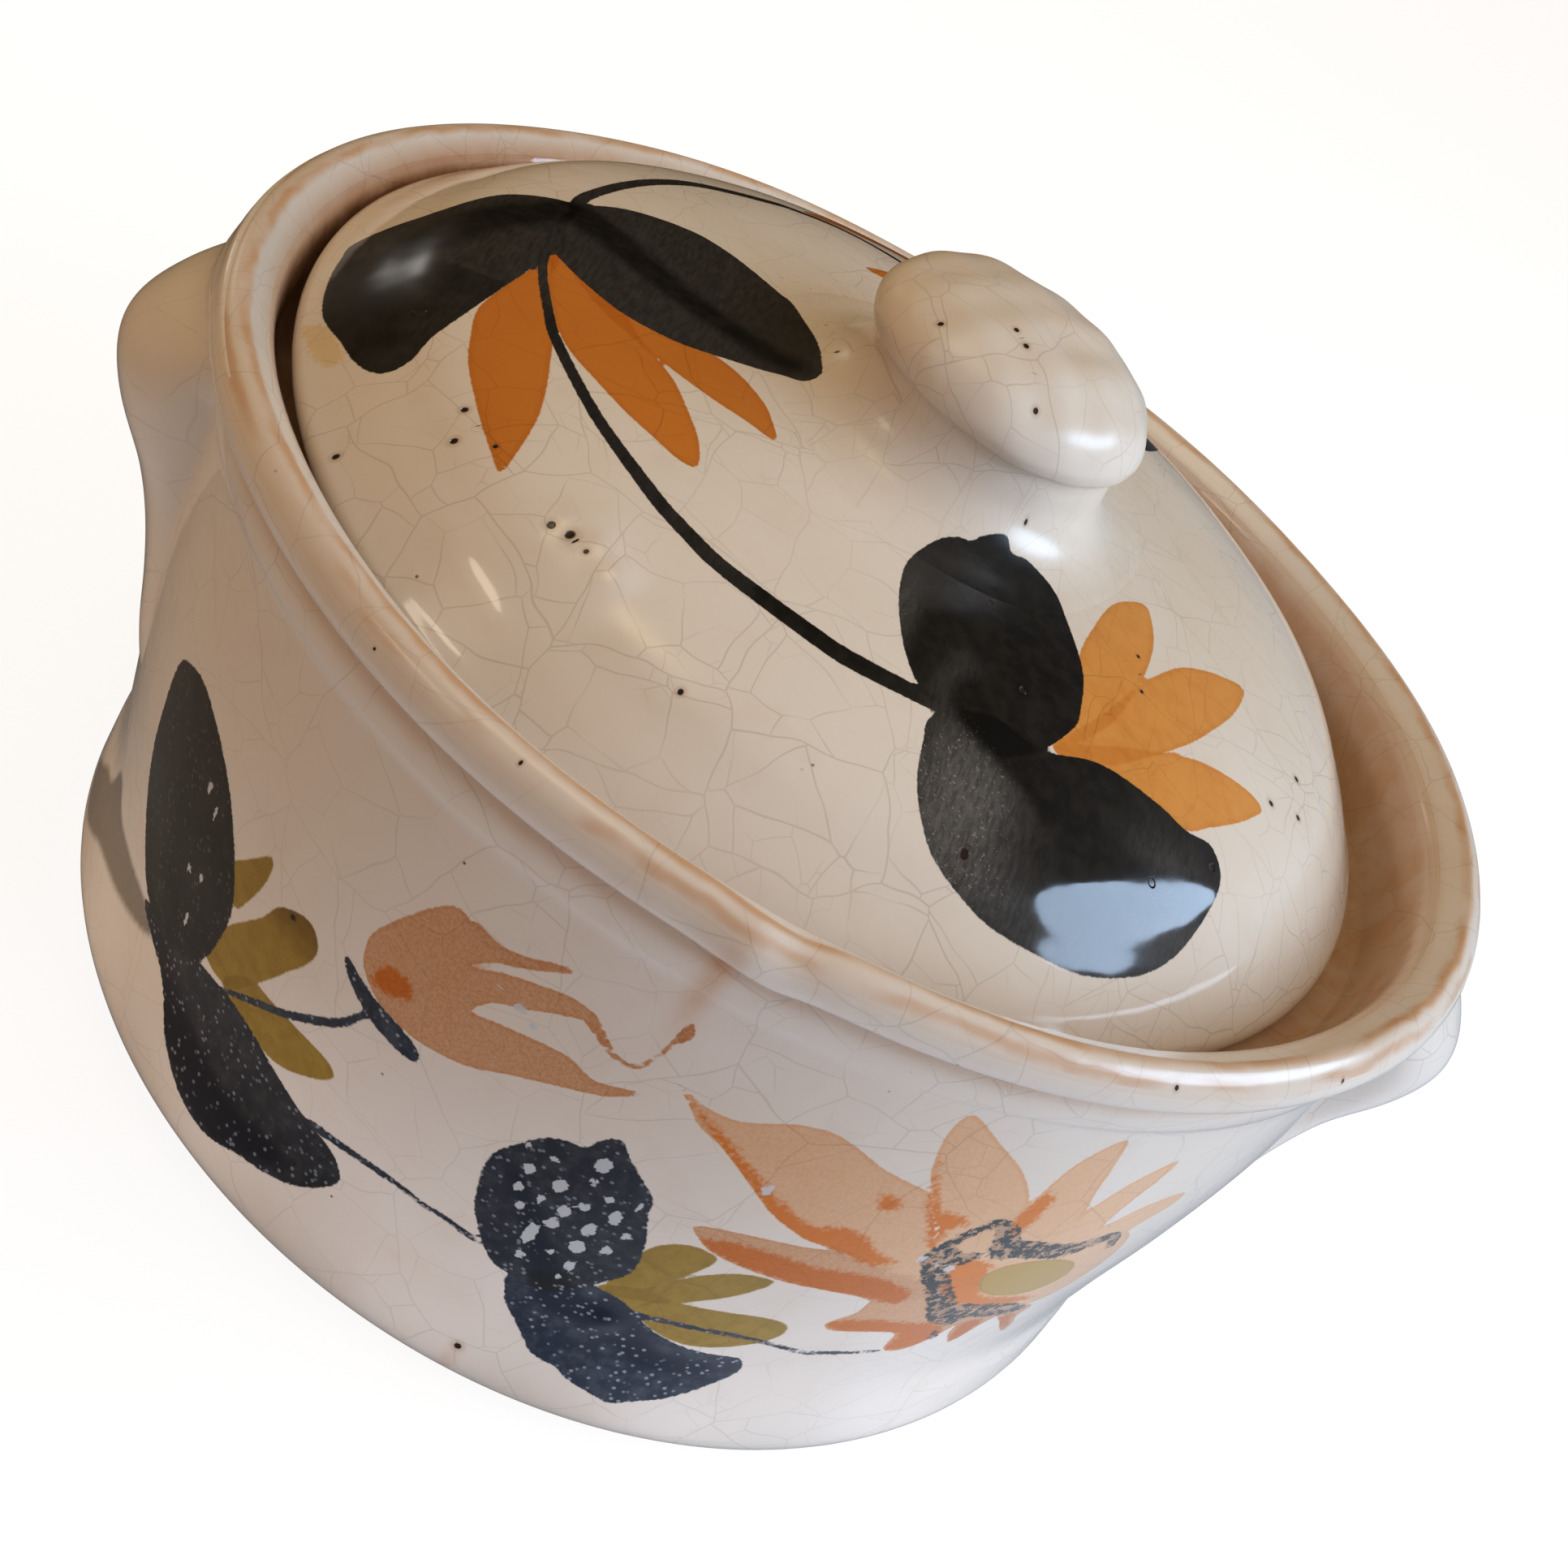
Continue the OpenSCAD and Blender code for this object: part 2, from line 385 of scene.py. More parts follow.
def inside_distance(px, py, outline, steps=6):
    """How far each point lies inside a closed smooth outline; negative outside."""
    loop = catmull(outline, steps, closed=True)
    out = np.full(len(px), FAR)
    low, high = loop.min(0) + FAR, loop.max(0) - FAR
    near = np.nonzero((px > low[0]) & (px < high[0]) & (py > low[1]) & (py < high[1]))[0]
    if not len(near):
        return out
    x, y = px[near], py[near]
    best = np.full(len(near), 1e9)
    odd = np.zeros(len(near), bool)
    for a, b in zip(loop, np.roll(loop, -1, axis=0)):
        d = b - a
        t = np.clip(((x - a[0]) * d[0] + (y - a[1]) * d[1]) / max(d @ d, 1e-9), 0, 1)
        best = np.minimum(best, (x - a[0] - t * d[0]) ** 2 + (y - a[1] - t * d[1]) ** 2)
        crosses = (a[1] > y) != (b[1] > y)
        if d[1]:
            odd ^= crosses & (x < a[0] + (y - a[1]) * d[0] / d[1])
    out[near] = np.where(odd, 1, -1) * np.sqrt(best)
    return np.maximum(out, FAR)


def line_distance(px, py, points, widths, steps=8):
    """The same for a line with a width that changes evenly between the given ones."""
    path = catmull(np.column_stack([np.asarray(points, float), widths]), steps)
    best = np.full(len(px), FAR)
    for a, b in zip(path[:-1], path[1:]):
        d = b[:2] - a[:2]
        t = np.clip(((px - a[0]) * d[0] + (py - a[1]) * d[1]) / max(d @ d, 1e-9), 0, 1)
        gap = np.hypot(px - a[0] - t * d[0], py - a[1] - t * d[1])
        best = np.maximum(best, (a[2] + (b[2] - a[2]) * t) / 2 - gap)
    return best


class Layer:
    """One colour of paint on one surface: its outer edge, where two strokes overlap, and a tone."""

    def __init__(self, px, py):
        self.px, self.py = px, py
        self.edge = np.full(len(px), FAR)
        self.overlap = np.full(len(px), FAR)
        self.tone = np.zeros(len(px))

    def add(self, field, tone=0.0):
        self.overlap = np.maximum(self.overlap, np.minimum(self.edge, field))
        self.tone = np.where(field > self.edge, tone, self.tone)
        self.edge = np.maximum(self.edge, field)

    def stroke(self, outline, tone=0.0):
        self.add(inside_distance(self.px, self.py, outline), tone)

    def line(self, points, widths, tone=0.0):
        self.add(line_distance(self.px, self.py, points, widths), tone)

    def save(self, piece, name):
        stacked = np.column_stack([self.edge, self.overlap, self.tone])
        put_vector(piece, name, stacked)


def put_vector(piece, name, values):
    attribute = piece.data.attributes.new(name, "FLOAT_VECTOR", "POINT")
    attribute.data.foreach_set("vector", values.astype(np.float32).ravel())


def put_float(piece, name, values):
    attribute = piece.data.attributes.new(name, "FLOAT", "POINT")
    attribute.data.foreach_set("value", values.astype(np.float32))


def put_spots(piece, name, px, py, spots):
    """Offset from the nearest spot's centre, in millimetres, so that a shader can draw it round."""
    out = np.full((len(px), 3), 9.0)
    best = np.full(len(px), 5.0)
    for x, y, size in spots:
        d = np.hypot(px - x, py - y)
        near = d < best
        best[near] = d[near]
        out[near] = np.column_stack([(px - x) / size, (py - y) / size, np.zeros(len(px))])[near]
    put_vector(piece, name, out)


# Lid decoration, in millimetres from the middle of the lid, seen from above
LID_INK = [
    [(-69, 12.2), (-76, 8.5), (-82, 0), (-89.5, -8), (-90, -13), (-89, -21), (-86.5, -29), (-82, -35.5),
     (-78, -40.5), (-74.5, -42.3), (-72.3, -40), (-71.8, -36), (-70, -30), (-68, -22), (-66, -13),
     (-64.5, -4), (-65, 4), (-66, 11)],
    [(-66, 11), (-60, 17.5), (-50, 20.3), (-44, 19.5), (-39, 17.2), (-34, 14.2), (-31, 12), (-27.6, 5.5),
     (-25.6, 0), (-24.1, -5.7), (-23.5, -9), (-25.2, -11.3), (-28.4, -11.6), (-33, -13.2), (-42, -15.6), (-48, -15.7), (-54, -14.2), (-62, -9), (-67, -2)],
    [(9.7, -22.2), (11.7, -23.3), (14.8, -22.2), (20.2, -23.2), (24.3, -28.9), (27.5, -35.3), (28.3, -43), (27.8, -47), (24, -54.5),
     (19, -60), (15, -61.5), (10, -60), (5, -58.2), (1.5, -54), (-1, -48), (-2.3, -42), (-2.2, -36.3),
     (0.4, -29.8), (3.1, -27), (5.1, -26.3), (6.8, -24.2)],
    [(7.7, -61), (7.6, -66), (8.5, -71), (10.5, -75), (14, -78.5), (19, -80), (25, -80.5), (32, -79.3),
     (40, -76.8), (47, -72.5), (52, -67.5), (55, -61.5), (56.9, -52), (54, -47.8), (49, -49), (44, -48.6),
     (36, -49), (31, -50.5), (24, -54.5), (15, -55)],
    [(8, 52), (14, 46), (22, 44), (30, 44.5), (36, 48), (40, 56), (42.5, 66), (42, 74), (38, 77),
     (30, 74), (22, 68), (14, 61)],
    [(8, 54), (2, 60), (-2, 68), (0, 76), (6, 81), (12, 80), (15, 73), (14, 64)],
]
LID_ORANGE = [
    [(-66, -13), (-68, -22), (-68.8, -28), (-67.5, -34), (-66, -39), (-63.5, -44), (-60.3, -49.5), (-57.5, -53.5),
     (-54.8, -56.8), (-54.3, -53), (-54.3, -46), (-55.5, -39), (-57, -33), (-58.5, -27), (-60.5, -21), (-62.5, -15), (-64, -6)],
    [(-65, -5), (-63, -14), (-60.3, -22), (-56, -29), (-50, -34), (-45, -37.5), (-40, -40), (-36, -41.8),
     (-33.5, -41.5), (-34, -38), (-35.5, -34.5), (-38, -30.5), (-41, -26), (-44.5, -22.5), (-48, -19.5),
     (-54, -12)],
    [(-62, -8), (-56, -15.5), (-50, -19.5), (-45, -22), (-40, -24), (-35, -25.6), (-30, -26.7), (-26.8, -27.6),
     (-25.2, -27.4), (-27.4, -22.8), (-29, -20.5), (-33, -17), (-37, -15), (-44, -13), (-54, -9)],
    [(25.5, -53), (26, -42), (26.3, -31.5), (27.5, -25), (29.5, -17.5), (32, -13), (35.8, -9.3), (37.2, -10.5),
     (38.4, -16), (38.2, -22), (36.5, -31), (33, -42)],
    [(25.5, -53), (32, -40), (37, -29), (40, -23.5), (44, -17.5), (49, -13), (53, -10.5), (56.7, -9),
     (56.6, -12.5), (54.5, -19), (51, -26), (47, -33), (40, -42.5), (33, -50)],
    [(25.5, -53), (33, -46), (42.5, -39), (49, -34.8), (55, -32.5), (60, -31.5), (62.4, -32.3), (61.5, -34.5),
     (58, -39.5), (53, -45), (48, -49.5), (36, -52)],
    [(0, 70), (-8, 75), (-18, 76), (-27, 71), (-35, 61), (-26, 64), (-16, 67), (-8, 67)],
    [(0, 60), (-8, 58), (-15, 52), (-22, 44.5), (-14, 46), (-6, 50), (0, 54)],
]
LID_STEMS = [
    ([(-66, -6), (-64.5, -13), (-60.5, -23), (-57, -29.5), (-48, -41), (-37.5, -50), (-31, -54), (-24, -57),
      (-10, -59.9), (-3, -60.2), (8, -59)], [1.4, 1.4, 1.5, 1.7, 1.9, 2.3, 2.5, 2.7, 3.0, 3.0, 2.6]),
    ([(-66, 11), (-66, 16), (-64, 23), (-61, 31), (-57, 39), (-52, 46), (-42, 54.5), (-36, 58.5), (-22, 62),
      (8, 56)], [2.4, 2.2, 2.2, 2.3, 2.4, 2.4, 2.3, 2.0, 1.8, 1.6]),
]
# Dark strokes inside the leaves
LID_RIBS = [
    ([(-66, 10), (-54, 2), (-42, -4), (-28, -8)], [6, 5, 4, 3]),
    ([(-68, 8), (-78, -6), (-83, -20), (-80, -36)], [5, 6, 6, 8]),
    ([(14, -55), (23, -59), (33, -63), (44, -63), (54, -57)], [9, 7, 6, 5, 3]),
]
LID_PINS_A = [(11.2, 5.8, 0.5), (13.2, -11.2, 0.5), (69.5, -18, 0.6), (64.2, -29.2, 0.6), (14.5, -30.5, 0.7),
              (45.5, -61, 0.8), (18, -76.2, 0.8), (-62.8, -48.1, 0.55), (-73.7, -55.2, 0.5), (-46.1, -62.3, 0.65),
              (-22.8, -76.6, 0.45), (-22, 3.5, 0.5), (19, -46.7, 0.7), (-57, -53, 0.4)]
LID_PINS_B = [(-2.8, -0.6, 0.5), (70.5, -25.8, 0.55), (36, -23, 0.4), (37.5, -30, 0.4), (10.8, -34.3, 0.6),
              (54.8, -50.8, 0.7), (-61.8, -53.2, 0.55), (-43.5, -62.7, 0.75), (-75.2, -30.5, 1.0),
              (-40.8, -64.5, 0.4)]

# Wall decoration: degrees round the pot and millimetres above the table
WALL_INK = [
    (0.10, [(-139.8, 72.3), (-136.5, 71.2), (-134, 69), (-131.5, 65.5), (-129.3, 60), (-128, 55), (-127.3, 50),
            (-127.7, 44), (-128.8, 37), (-131, 31), (-134.5, 27.5), (-139, 29.5), (-141, 32), (-143, 37),
            (-144.6, 43), (-145.2, 50), (-145, 58), (-144.5, 66), (-143.3, 69.8)]),
    (0.35, [(-139.5, 28.5), (-137, 25.8), (-134, 24), (-132, 21.5), (-130, 18), (-127.5, 15), (-125, 13),
            (-122, 12.3), (-120, 13), (-117.5, 15), (-114.5, 16.5), (-112, 18.5), (-110, 21.5), (-108.7, 25),
            (-109.5, 28), (-111, 29.8), (-114, 31), (-118, 33.5), (-121, 35.5), (-124, 36.3), (-127, 35.8),
            (-131, 34)]),
    (0.6, [(-116.1, 64.4), (-114.3, 63), (-112.5, 61.8), (-110, 61), (-108.3, 60), (-107.5, 58.2),
           (-108.2, 57), (-110.5, 57.2), (-112.5, 58.2), (-114.5, 60.3), (-115.8, 62.5)]),
    (0.38, [(-92.4, 67), (-91, 64.5), (-89.5, 62), (-88, 59.5), (-87.2, 55), (-86.3, 51), (-85.5, 46),
           (-85.4, 42), (-86.3, 38.5), (-88, 34), (-90, 30), (-94, 30), (-95.5, 31.5), (-97, 35),
           (-98.2, 38.5), (-99, 43), (-99.5, 49), (-99.2, 53), (-98, 57), (-97, 60), (-95.5, 61.8),
           (-94.2, 62.3), (-93.6, 65)]),
    (0.55, [(-93, 29.8), (-92.8, 27), (-92, 24), (-90.5, 21.5), (-89, 19), (-87.5, 17), (-85.5, 16.5),
            (-84, 15), (-81, 13.5), (-79.5, 13), (-78.5, 14), (-77, 15.5), (-75.5, 17), (-73.8, 19.5),
            (-72.5, 22), (-71.3, 25), (-71.2, 27.2), (-72.2, 29.5), (-75, 29), (-77.5, 29.3), (-80, 30.5),
            (-81.5, 32), (-83, 34), (-84.5, 35.3), (-86.5, 36), (-90, 35.5)]),
]
WALL_GREY = [
    [(-136, 28), (-140, 28), (-145, 27.6), (-150, 27.2), (-153, 29.5), (-155, 28), (-157, 22.5), (-160, 20.5),
     (-162.5, 17), (-166, 12.5), (-163, 11), (-159, 11), (-155, 14), (-152, 17), (-148, 19), (-144, 20.5),
     (-138, 24)],
]
WALL_STEMS = [
    ([(-125.5, 36.5), (-122.5, 40.5), (-119, 45), (-116.5, 49), (-114.5, 52.5), (-113.3, 56), (-112.4, 60)],
     [0.9, 1.2, 1.4, 1.5, 1.4, 1.2, 1.2]),
    ([(-113, 31), (-110, 32), (-107.5, 32.8), (-104.5, 33.3), (-102, 33), (-100, 33.3), (-97, 32.8)],
     [1.6, 1.5, 1.4, 1.2, 1.1, 1.2, 1.3]),
    ([(-83, 33.5), (-80, 34), (-77, 34.8), (-73.5, 35.2), (-70.5, 34.8), (-67.5, 33.8), (-64.5, 34.5),
      (-60.5, 35.3)], [1.3, 1.2, 1.2, 1.2, 1.1, 1.1, 1.1, 0.9]),
]
# Dark middle lines of the leaves
WALL_RIBS = [
    ([(-139.5, 69), (-137.5, 60), (-136.5, 50), (-136.5, 42), (-134, 33)], [2.5, 5, 6, 6, 5]),
    ([(-143, 40), (-140, 31), (-135, 26), (-128, 20), (-121, 17), (-115, 20)], [3, 4, 6, 8, 8, 4]),
    ([(-85.6, 29.6), (-83, 29)], [5.5, 5.5]),
    ([(-97, 50), (-92.5, 39), (-88.5, 30), (-84, 29.5), (-79, 24), (-74, 25)], [3, 4, 7, 6, 5, 3]),
]
WALL_OLIVE = [
    (0.1, [(-125.3, 65.6), (-126.5, 63), (-127.8, 60), (-129, 57), (-128.4, 53), (-127, 51.5), (-126, 55),
           (-125.1, 60), (-124.8, 64)]),
    (0.7, [(-120.2, 63.2), (-118.8, 62), (-118.3, 59.5), (-118.9, 56), (-120, 52.5), (-121.5, 47.5),
           (-123, 43), (-125, 38), (-128, 37), (-129.5, 40), (-127.4, 47), (-125.5, 52), (-124, 56),
           (-122.8, 60.5)]),
    (0.2, [(-123, 44), (-120, 44.5), (-117, 44.8), (-114, 44.6), (-113, 43), (-113.5, 41), (-115, 38.5),
           (-117, 36), (-119, 34.8), (-122.5, 35), (-126, 37), (-125, 41)]),
    (0.0, [(-86, 36), (-86.4, 42), (-85.8, 48), (-84.8, 51.5), (-83, 53.4), (-81.2, 53), (-80.7, 51.5),
           (-81.5, 47), (-82.7, 42), (-83.5, 37)]),
    (0.0, [(-84, 38), (-82, 44.5), (-80.5, 48), (-78.5, 50.7), (-76.5, 51.5), (-75.6, 51), (-76, 48.5),
           (-77.5, 44.5), (-79.5, 41), (-82, 37.5)]),
    (0.0, [(-86.8, 36.3), (-84, 39.5), (-80.5, 39.5), (-77, 40.5), (-73.5, 41.6), (-71.5, 41), (-70.8, 39),
           (-71.3, 36), (-73, 33), (-75.5, 30.5), (-78, 29.8), (-80.5, 31), (-82.5, 33), (-85, 34)]),
    (0.0, [(-59.5, 60), (-58, 63), (-54, 63.5), (-50.5, 61), (-49.5, 56), (-52, 52.8), (-56, 53.5), (-58.5, 56)]),
]
WALL_ORANGE = [
    (0.3, [(-113, 62.5), (-114.6, 65.5), (-115, 70), (-114.2, 74), (-113, 78), (-112, 81), (-110.4, 84.1),
            (-108.5, 83.2), (-106.5, 83), (-106, 81.5), (-107, 79.5), (-107.6, 77.8), (-105.5, 80.3),
            (-103, 82.3), (-100.5, 83.7), (-98.9, 83.3), (-97.6, 81.6), (-98.8, 81.8), (-100.3, 80.6),
            (-101.8, 79), (-103.2, 77.3), (-105, 75.3), (-106, 71.8), (-104, 73), (-101, 74.5),
            (-98.5, 75.1), (-96.3, 74), (-93.1, 76.2), (-95, 72.7), (-97, 70.8), (-99, 69), (-101.5, 66.5),
            (-104, 63.5), (-106.5, 61.8), (-109, 61), (-111.3, 61.4)]),
    (0.0, [(-93.1, 90.3), (-92.5, 88), (-93.4, 85.6), (-93.5, 88)]),
    (0.75, [(-91.6, 80.8), (-89.5, 79.2), (-87, 79), (-85, 80.5), (-83, 82.5), (-80.5, 83.3), (-78, 82),
            (-75.5, 80), (-73, 78.7), (-71, 77.5), (-69.6, 74), (-68, 70), (-66, 64), (-64, 58), (-66, 57),
            (-70, 59.5), (-73.5, 62), (-76, 62.2), (-78.5, 64), (-80.5, 66), (-82.5, 68.8), (-84.5, 71.5),
            (-86.5, 74), (-88.5, 75.5), (-90, 78)]),
    (0.35, [(-84.1, 57.6), (-82, 59), (-79, 60), (-76, 60.7), (-73, 61.7), (-70, 60.5), (-66, 60), (-62, 57),
            (-63, 50), (-65.5, 49.8), (-68, 51.5), (-71, 51.9), (-75, 51.8), (-79, 52.5), (-81.5, 53.5),
            (-83.3, 55.6)]),
    (0.85, [(-73, 93.3), (-73.3, 89), (-72.8, 85), (-72, 81), (-70.5, 77), (-69, 73), (-67.5, 70),
            (-66.4, 64), (-62, 64), (-62, 73), (-62.2, 76.5), (-63, 79.5), (-64.3, 82.5), (-66, 85.5),
            (-68, 88), (-70, 90.5), (-71.5, 92.4)]),
    (0.9, [(-59.2, 93.1), (-61.2, 89), (-62, 85), (-62.3, 80), (-62.2, 74), (-61, 66), (-56, 66), (-56.5, 76.5),
           (-57.1, 80), (-57.5, 83), (-58, 87)]),
    (0.95, [(-51.4, 87.6), (-54, 84), (-55.3, 80.5), (-56.3, 76), (-57, 67), (-52.5, 66), (-52.7, 74),
            (-52.2, 79), (-51.5, 83)]),
    (1.0, [(-45.6, 77.6), (-48.5, 77), (-51, 74.5), (-54, 68), (-49, 67), (-47.5, 71), (-45.5, 74.5)]),
    (0.45, [(-66.8, 51), (-67, 47), (-68.4, 43), (-67.5, 41.2), (-65.5, 41.3), (-63, 41.7), (-61.2, 41.3),
            (-60.8, 39), (-60.5, 36.5), (-59.5, 35.2), (-58, 35.7), (-56.8, 38), (-56, 41), (-56, 46),
            (-60, 54), (-64, 53)]),
    (0.35, [(-57, 47), (-55.5, 43), (-55, 40), (-53.5, 36.5), (-52.8, 37.5), (-52.3, 41), (-51.5, 47)]),
    (0.5, [(-52, 46), (-49.5, 41), (-47.5, 37), (-46, 35), (-46.5, 38.5), (-47.8, 42), (-48, 46)]),
    (0.95, [(-63, 66), (-60, 69), (-54, 69), (-48.5, 69), (-46, 64), (-45.5, 55), (-48, 47.5), (-56, 47),
            (-62, 52), (-65, 60)]),
]
WALL_DEEP = [
    [(-113.6, 64.6), (-113, 67.8), (-111.4, 69), (-110.3, 67.8), (-110.6, 65.5), (-112.3, 63.9)],
    [(-91.5, 80.4), (-89, 77.8), (-86.8, 76), (-84.5, 73.5), (-82, 70.5), (-79, 67.2), (-76.5, 65.6),
     (-74.5, 67), (-72.5, 66), (-70.5, 63.2), (-68.5, 61.5), (-70, 59.8), (-73.5, 61.6), (-76, 61.9),
     (-79, 63.5), (-82.5, 68.5), (-86.5, 73.8), (-90, 78)],
    [(-74.1, 75.2), (-72.6, 75.1), (-72.3, 73), (-73.5, 72.4)],
    [(-72.6, 84.5), (-70.9, 79.5), (-69.6, 76), (-68.4, 74.5), (-66.6, 73.8), (-65.8, 72.2), (-67, 71.2),
     (-66.8, 66), (-67.8, 68), (-69.4, 72.5), (-70.9, 77)],
    [(-61.9, 81), (-60.6, 79), (-60.7, 72), (-61.4, 71), (-62.4, 75)],
    [(-83, 55.6), (-79, 57.5), (-74, 57), (-69, 57.3), (-65, 55), (-64.5, 51), (-68, 51.6), (-75, 51.8),
     (-81, 53.4)],
    [(-68.2, 43.5), (-65, 45.5), (-61.5, 45), (-57.5, 44), (-56.2, 40), (-58, 35.8), (-60.3, 36),
     (-61, 41.2), (-67, 41.3)],
    [(-55, 43.5), (-53, 44), (-52.5, 39.5), (-53.7, 36.8)],
    [(-50.8, 43.6), (-48.8, 43), (-46.3, 36), (-48.5, 38.5)],
    [(-63.5, 63.5), (-60.5, 63.5), (-58.8, 58), (-57, 53.5), (-52, 51.5), (-50, 49.5), (-57, 50), (-62, 55)],
]
WALL_CENTRE = [
    ([(-66, 65), (-65.5, 68.5), (-64.5, 72), (-63.5, 73.6), (-62.3, 72.4), (-61.3, 69.6), (-60, 66.5)],
     [3.2, 2.2, 1.6, 2.2, 3.0, 4.0, 4.5]),
    ([(-61, 68), (-58, 67), (-54, 66), (-51.5, 67.5), (-49.5, 68.3), (-48, 64.5)], [4.2, 4.6, 4.0, 3.0, 2.4, 1.6]),
    ([(-65.3, 65.6), (-64, 63.8), (-62.6, 65)], [2.6, 3.4, 2.4]),
    ([(-66.3, 64.5), (-64.5, 60), (-62.5, 56), (-60.5, 51.5), (-58.5, 47.5), (-56.8, 45)],
     [2.4, 3.6, 3.8, 4.4, 5.0, 3.0]),
    ([(-59, 49), (-56, 48.3), (-52, 47), (-49.5, 45.6)], [4.4, 4.6, 4.4, 2.4]),
    ([(-57, 41), (-56.4, 39.3)], [1.2, 1.8]),
]
WALL_TENDRILS = [
    ([(-108.5, 82.5), (-106.5, 82.4), (-104.5, 83.9), (-103, 85.6), (-101.6, 87.1)], [3.4, 2.6, 1.8, 1.4, 0.9]),
    ([(-99, 82.6), (-97.6, 80.9), (-96.4, 79.5), (-95.3, 79), (-94.4, 79.8), (-93.8, 82.4), (-93.4, 86)],
     [2.0, 1.5, 1.0, 0.8, 0.7, 0.6, 0.6]),
]
# White flecks in the blue-black berry: where, half width and half height
BERRY_FLECKS = [(-92.3, 61, 1.1, 1.7), (-92.2, 57, 0.6, 1.2), (-96.6, 53, 0.9, 1.3), (-94, 53, 1.1, 1.7),
                (-91.6, 51.5, 0.9, 1.0), (-89.2, 52.4, 0.9, 1.8), (-96.5, 48.4, 0.8, 1.3), (-94.6, 48.6, 0.6, 1.3),
                (-92.6, 48.6, 1.0, 1.5), (-90.2, 47.3, 0.9, 2.1), (-92.8, 45, 0.9, 1.5), (-90.1, 42.6, 1.2, 1.5),
                (-93.7, 40.6, 0.9, 2.8), (-89.6, 38, 0.7, 1.7), (-93.3, 35.2, 0.7, 1.1), (-91.6, 39, 0.6, 0.9),
                (-89.7, 34.6, 0.6, 0.9), (-95.6, 45, 0.8, 1.1), (-97.5, 57, 0.6, 0.9), (-88.2, 56.5, 0.5, 1.2),
                (-87.6, 49.5, 0.7, 1.2), (-88.1, 44.6, 0.8, 1.2), (-95.4, 57.2, 0.7, 0.8), (-90.4, 55.2, 0.7, 1.0),
                (-132.6, 60, 0.5, 1.2), (-134.2, 62, 0.6, 1.4), (-132, 48, 0.5, 1.1), (-133.9, 46, 0.6, 1.2),
                (-129.6, 49, 0.3, 0.9), (-128.2, 52.4, 0.35, 0.9), (-132.6, 38, 0.5, 1.6),
                (-81.6, 69.6, 0.8, 1.4), (-103.2, 77.4, 1.1, 0.8), (-101.8, 76.2, 0.7, 0.6),
                (-105.2, 78.2, 0.6, 0.5), (-100.4, 76.9, 0.6, 0.4),
                (-66.7, 63.4, 0.7, 1.2), (-63.6, 61.6, 0.9, 1.0)]
SPRAY_SHIFTS = (0, 180)


def round_the_pot(outline, shift):
    """An outline in degrees and millimetres as millimetres along the wall."""
    return [((a + shift) * WALL_MM_PER_DEG, z) for a, z in outline]


def wrapped(az):
    """Degrees from -180 up to 180, cut where the wall isn't painted."""
    return (az + 180) % 360 - 180


def paint_wall(piece, az, z):
    """The front spray, and the same again on the far side."""
    along = ((az + 190) % 360 - 190) * WALL_MM_PER_DEG
    ink, orange, olive, deep, grey = (Layer(along, z) for _ in range(5))
    centre = Layer(along, z)
    fleck = np.full(len(z), FAR)
    rib = np.full(len(z), FAR)
    for shift in SPRAY_SHIFTS:
        def at(outline):
            return round_the_pot(outline, shift)
        for tone, outline in WALL_INK:
            ink.stroke(at(outline), tone)
        for points, widths in WALL_STEMS:
            ink.line(at(points), widths, 0.5)
        for outline in WALL_GREY:
            grey.stroke(at(outline))
        for tone, outline in WALL_OLIVE:
            olive.stroke(at(outline), tone)
        for tone, outline in WALL_ORANGE:
            orange.stroke(at(outline), tone)
        for points, widths in WALL_TENDRILS:
            orange.line(at(points), widths, 0.2)
        for outline in WALL_DEEP:
            deep.stroke(at(outline))
        for points, widths in WALL_CENTRE:
            centre.line(at(points), widths)
        for points, widths in WALL_RIBS:
            rib = np.maximum(rib, line_distance(along, z, at(points), widths))
        for a, h, half_w, half_h in BERRY_FLECKS:
            d = np.hypot((along / WALL_MM_PER_DEG - a - shift) * WALL_MM_PER_DEG / half_w, (z - h) / half_h)
            fleck = np.maximum(fleck, (1 - d) * half_w)
    ink.save(piece, "ink")
    orange.save(piece, "orange")
    olive.save(piece, "olive")
    put_vector(piece, "more", np.column_stack([deep.edge, grey.edge, centre.edge]))
    put_vector(piece, "fleck", np.column_stack([np.maximum(fleck, -3), rib, 0 * rib]))


def clay_stain_and_shade(az, z, r, inside):
    """Painted shade and brown marks: in the gallery a brown stain with painted shade under the lid's edge, starting
    below the lip's inner slope and deepest at the far left; a brown line along the crease under the lip; a brown smear
    below the lip's dent; a drip low on the wall.
    """
    # Painted shade in the gap under the lid's edge, strongest at the far left
    far_left_shade = hump((az % 360 - 140) * 1.7, 95)
    # Gallery: brown stain plus painted shade that darkens downwards under the lid
    gallery_stain_and_shade = np.where(inside & (z > 88), (1 + far_left_shade) * np.clip((108.6 + 1.2 * far_left_shade - z) / 4, 0, 1), 0)
    crease = np.where(inside, 0, 0.5 * hump(z - 101.6, 1.5))
    smear = np.where(inside, 0, 0.85 * hump((az + 93.8) * 1.8, 1.7) * hump(z - 98, 10))
    drip = np.where(inside, 0, 0.5 * hump((az + 93.3) * 1.76, 1.1) * hump(z - 7, 4.5))
    return np.clip(gallery_stain_and_shade + crease + smear + drip, 0, 2)


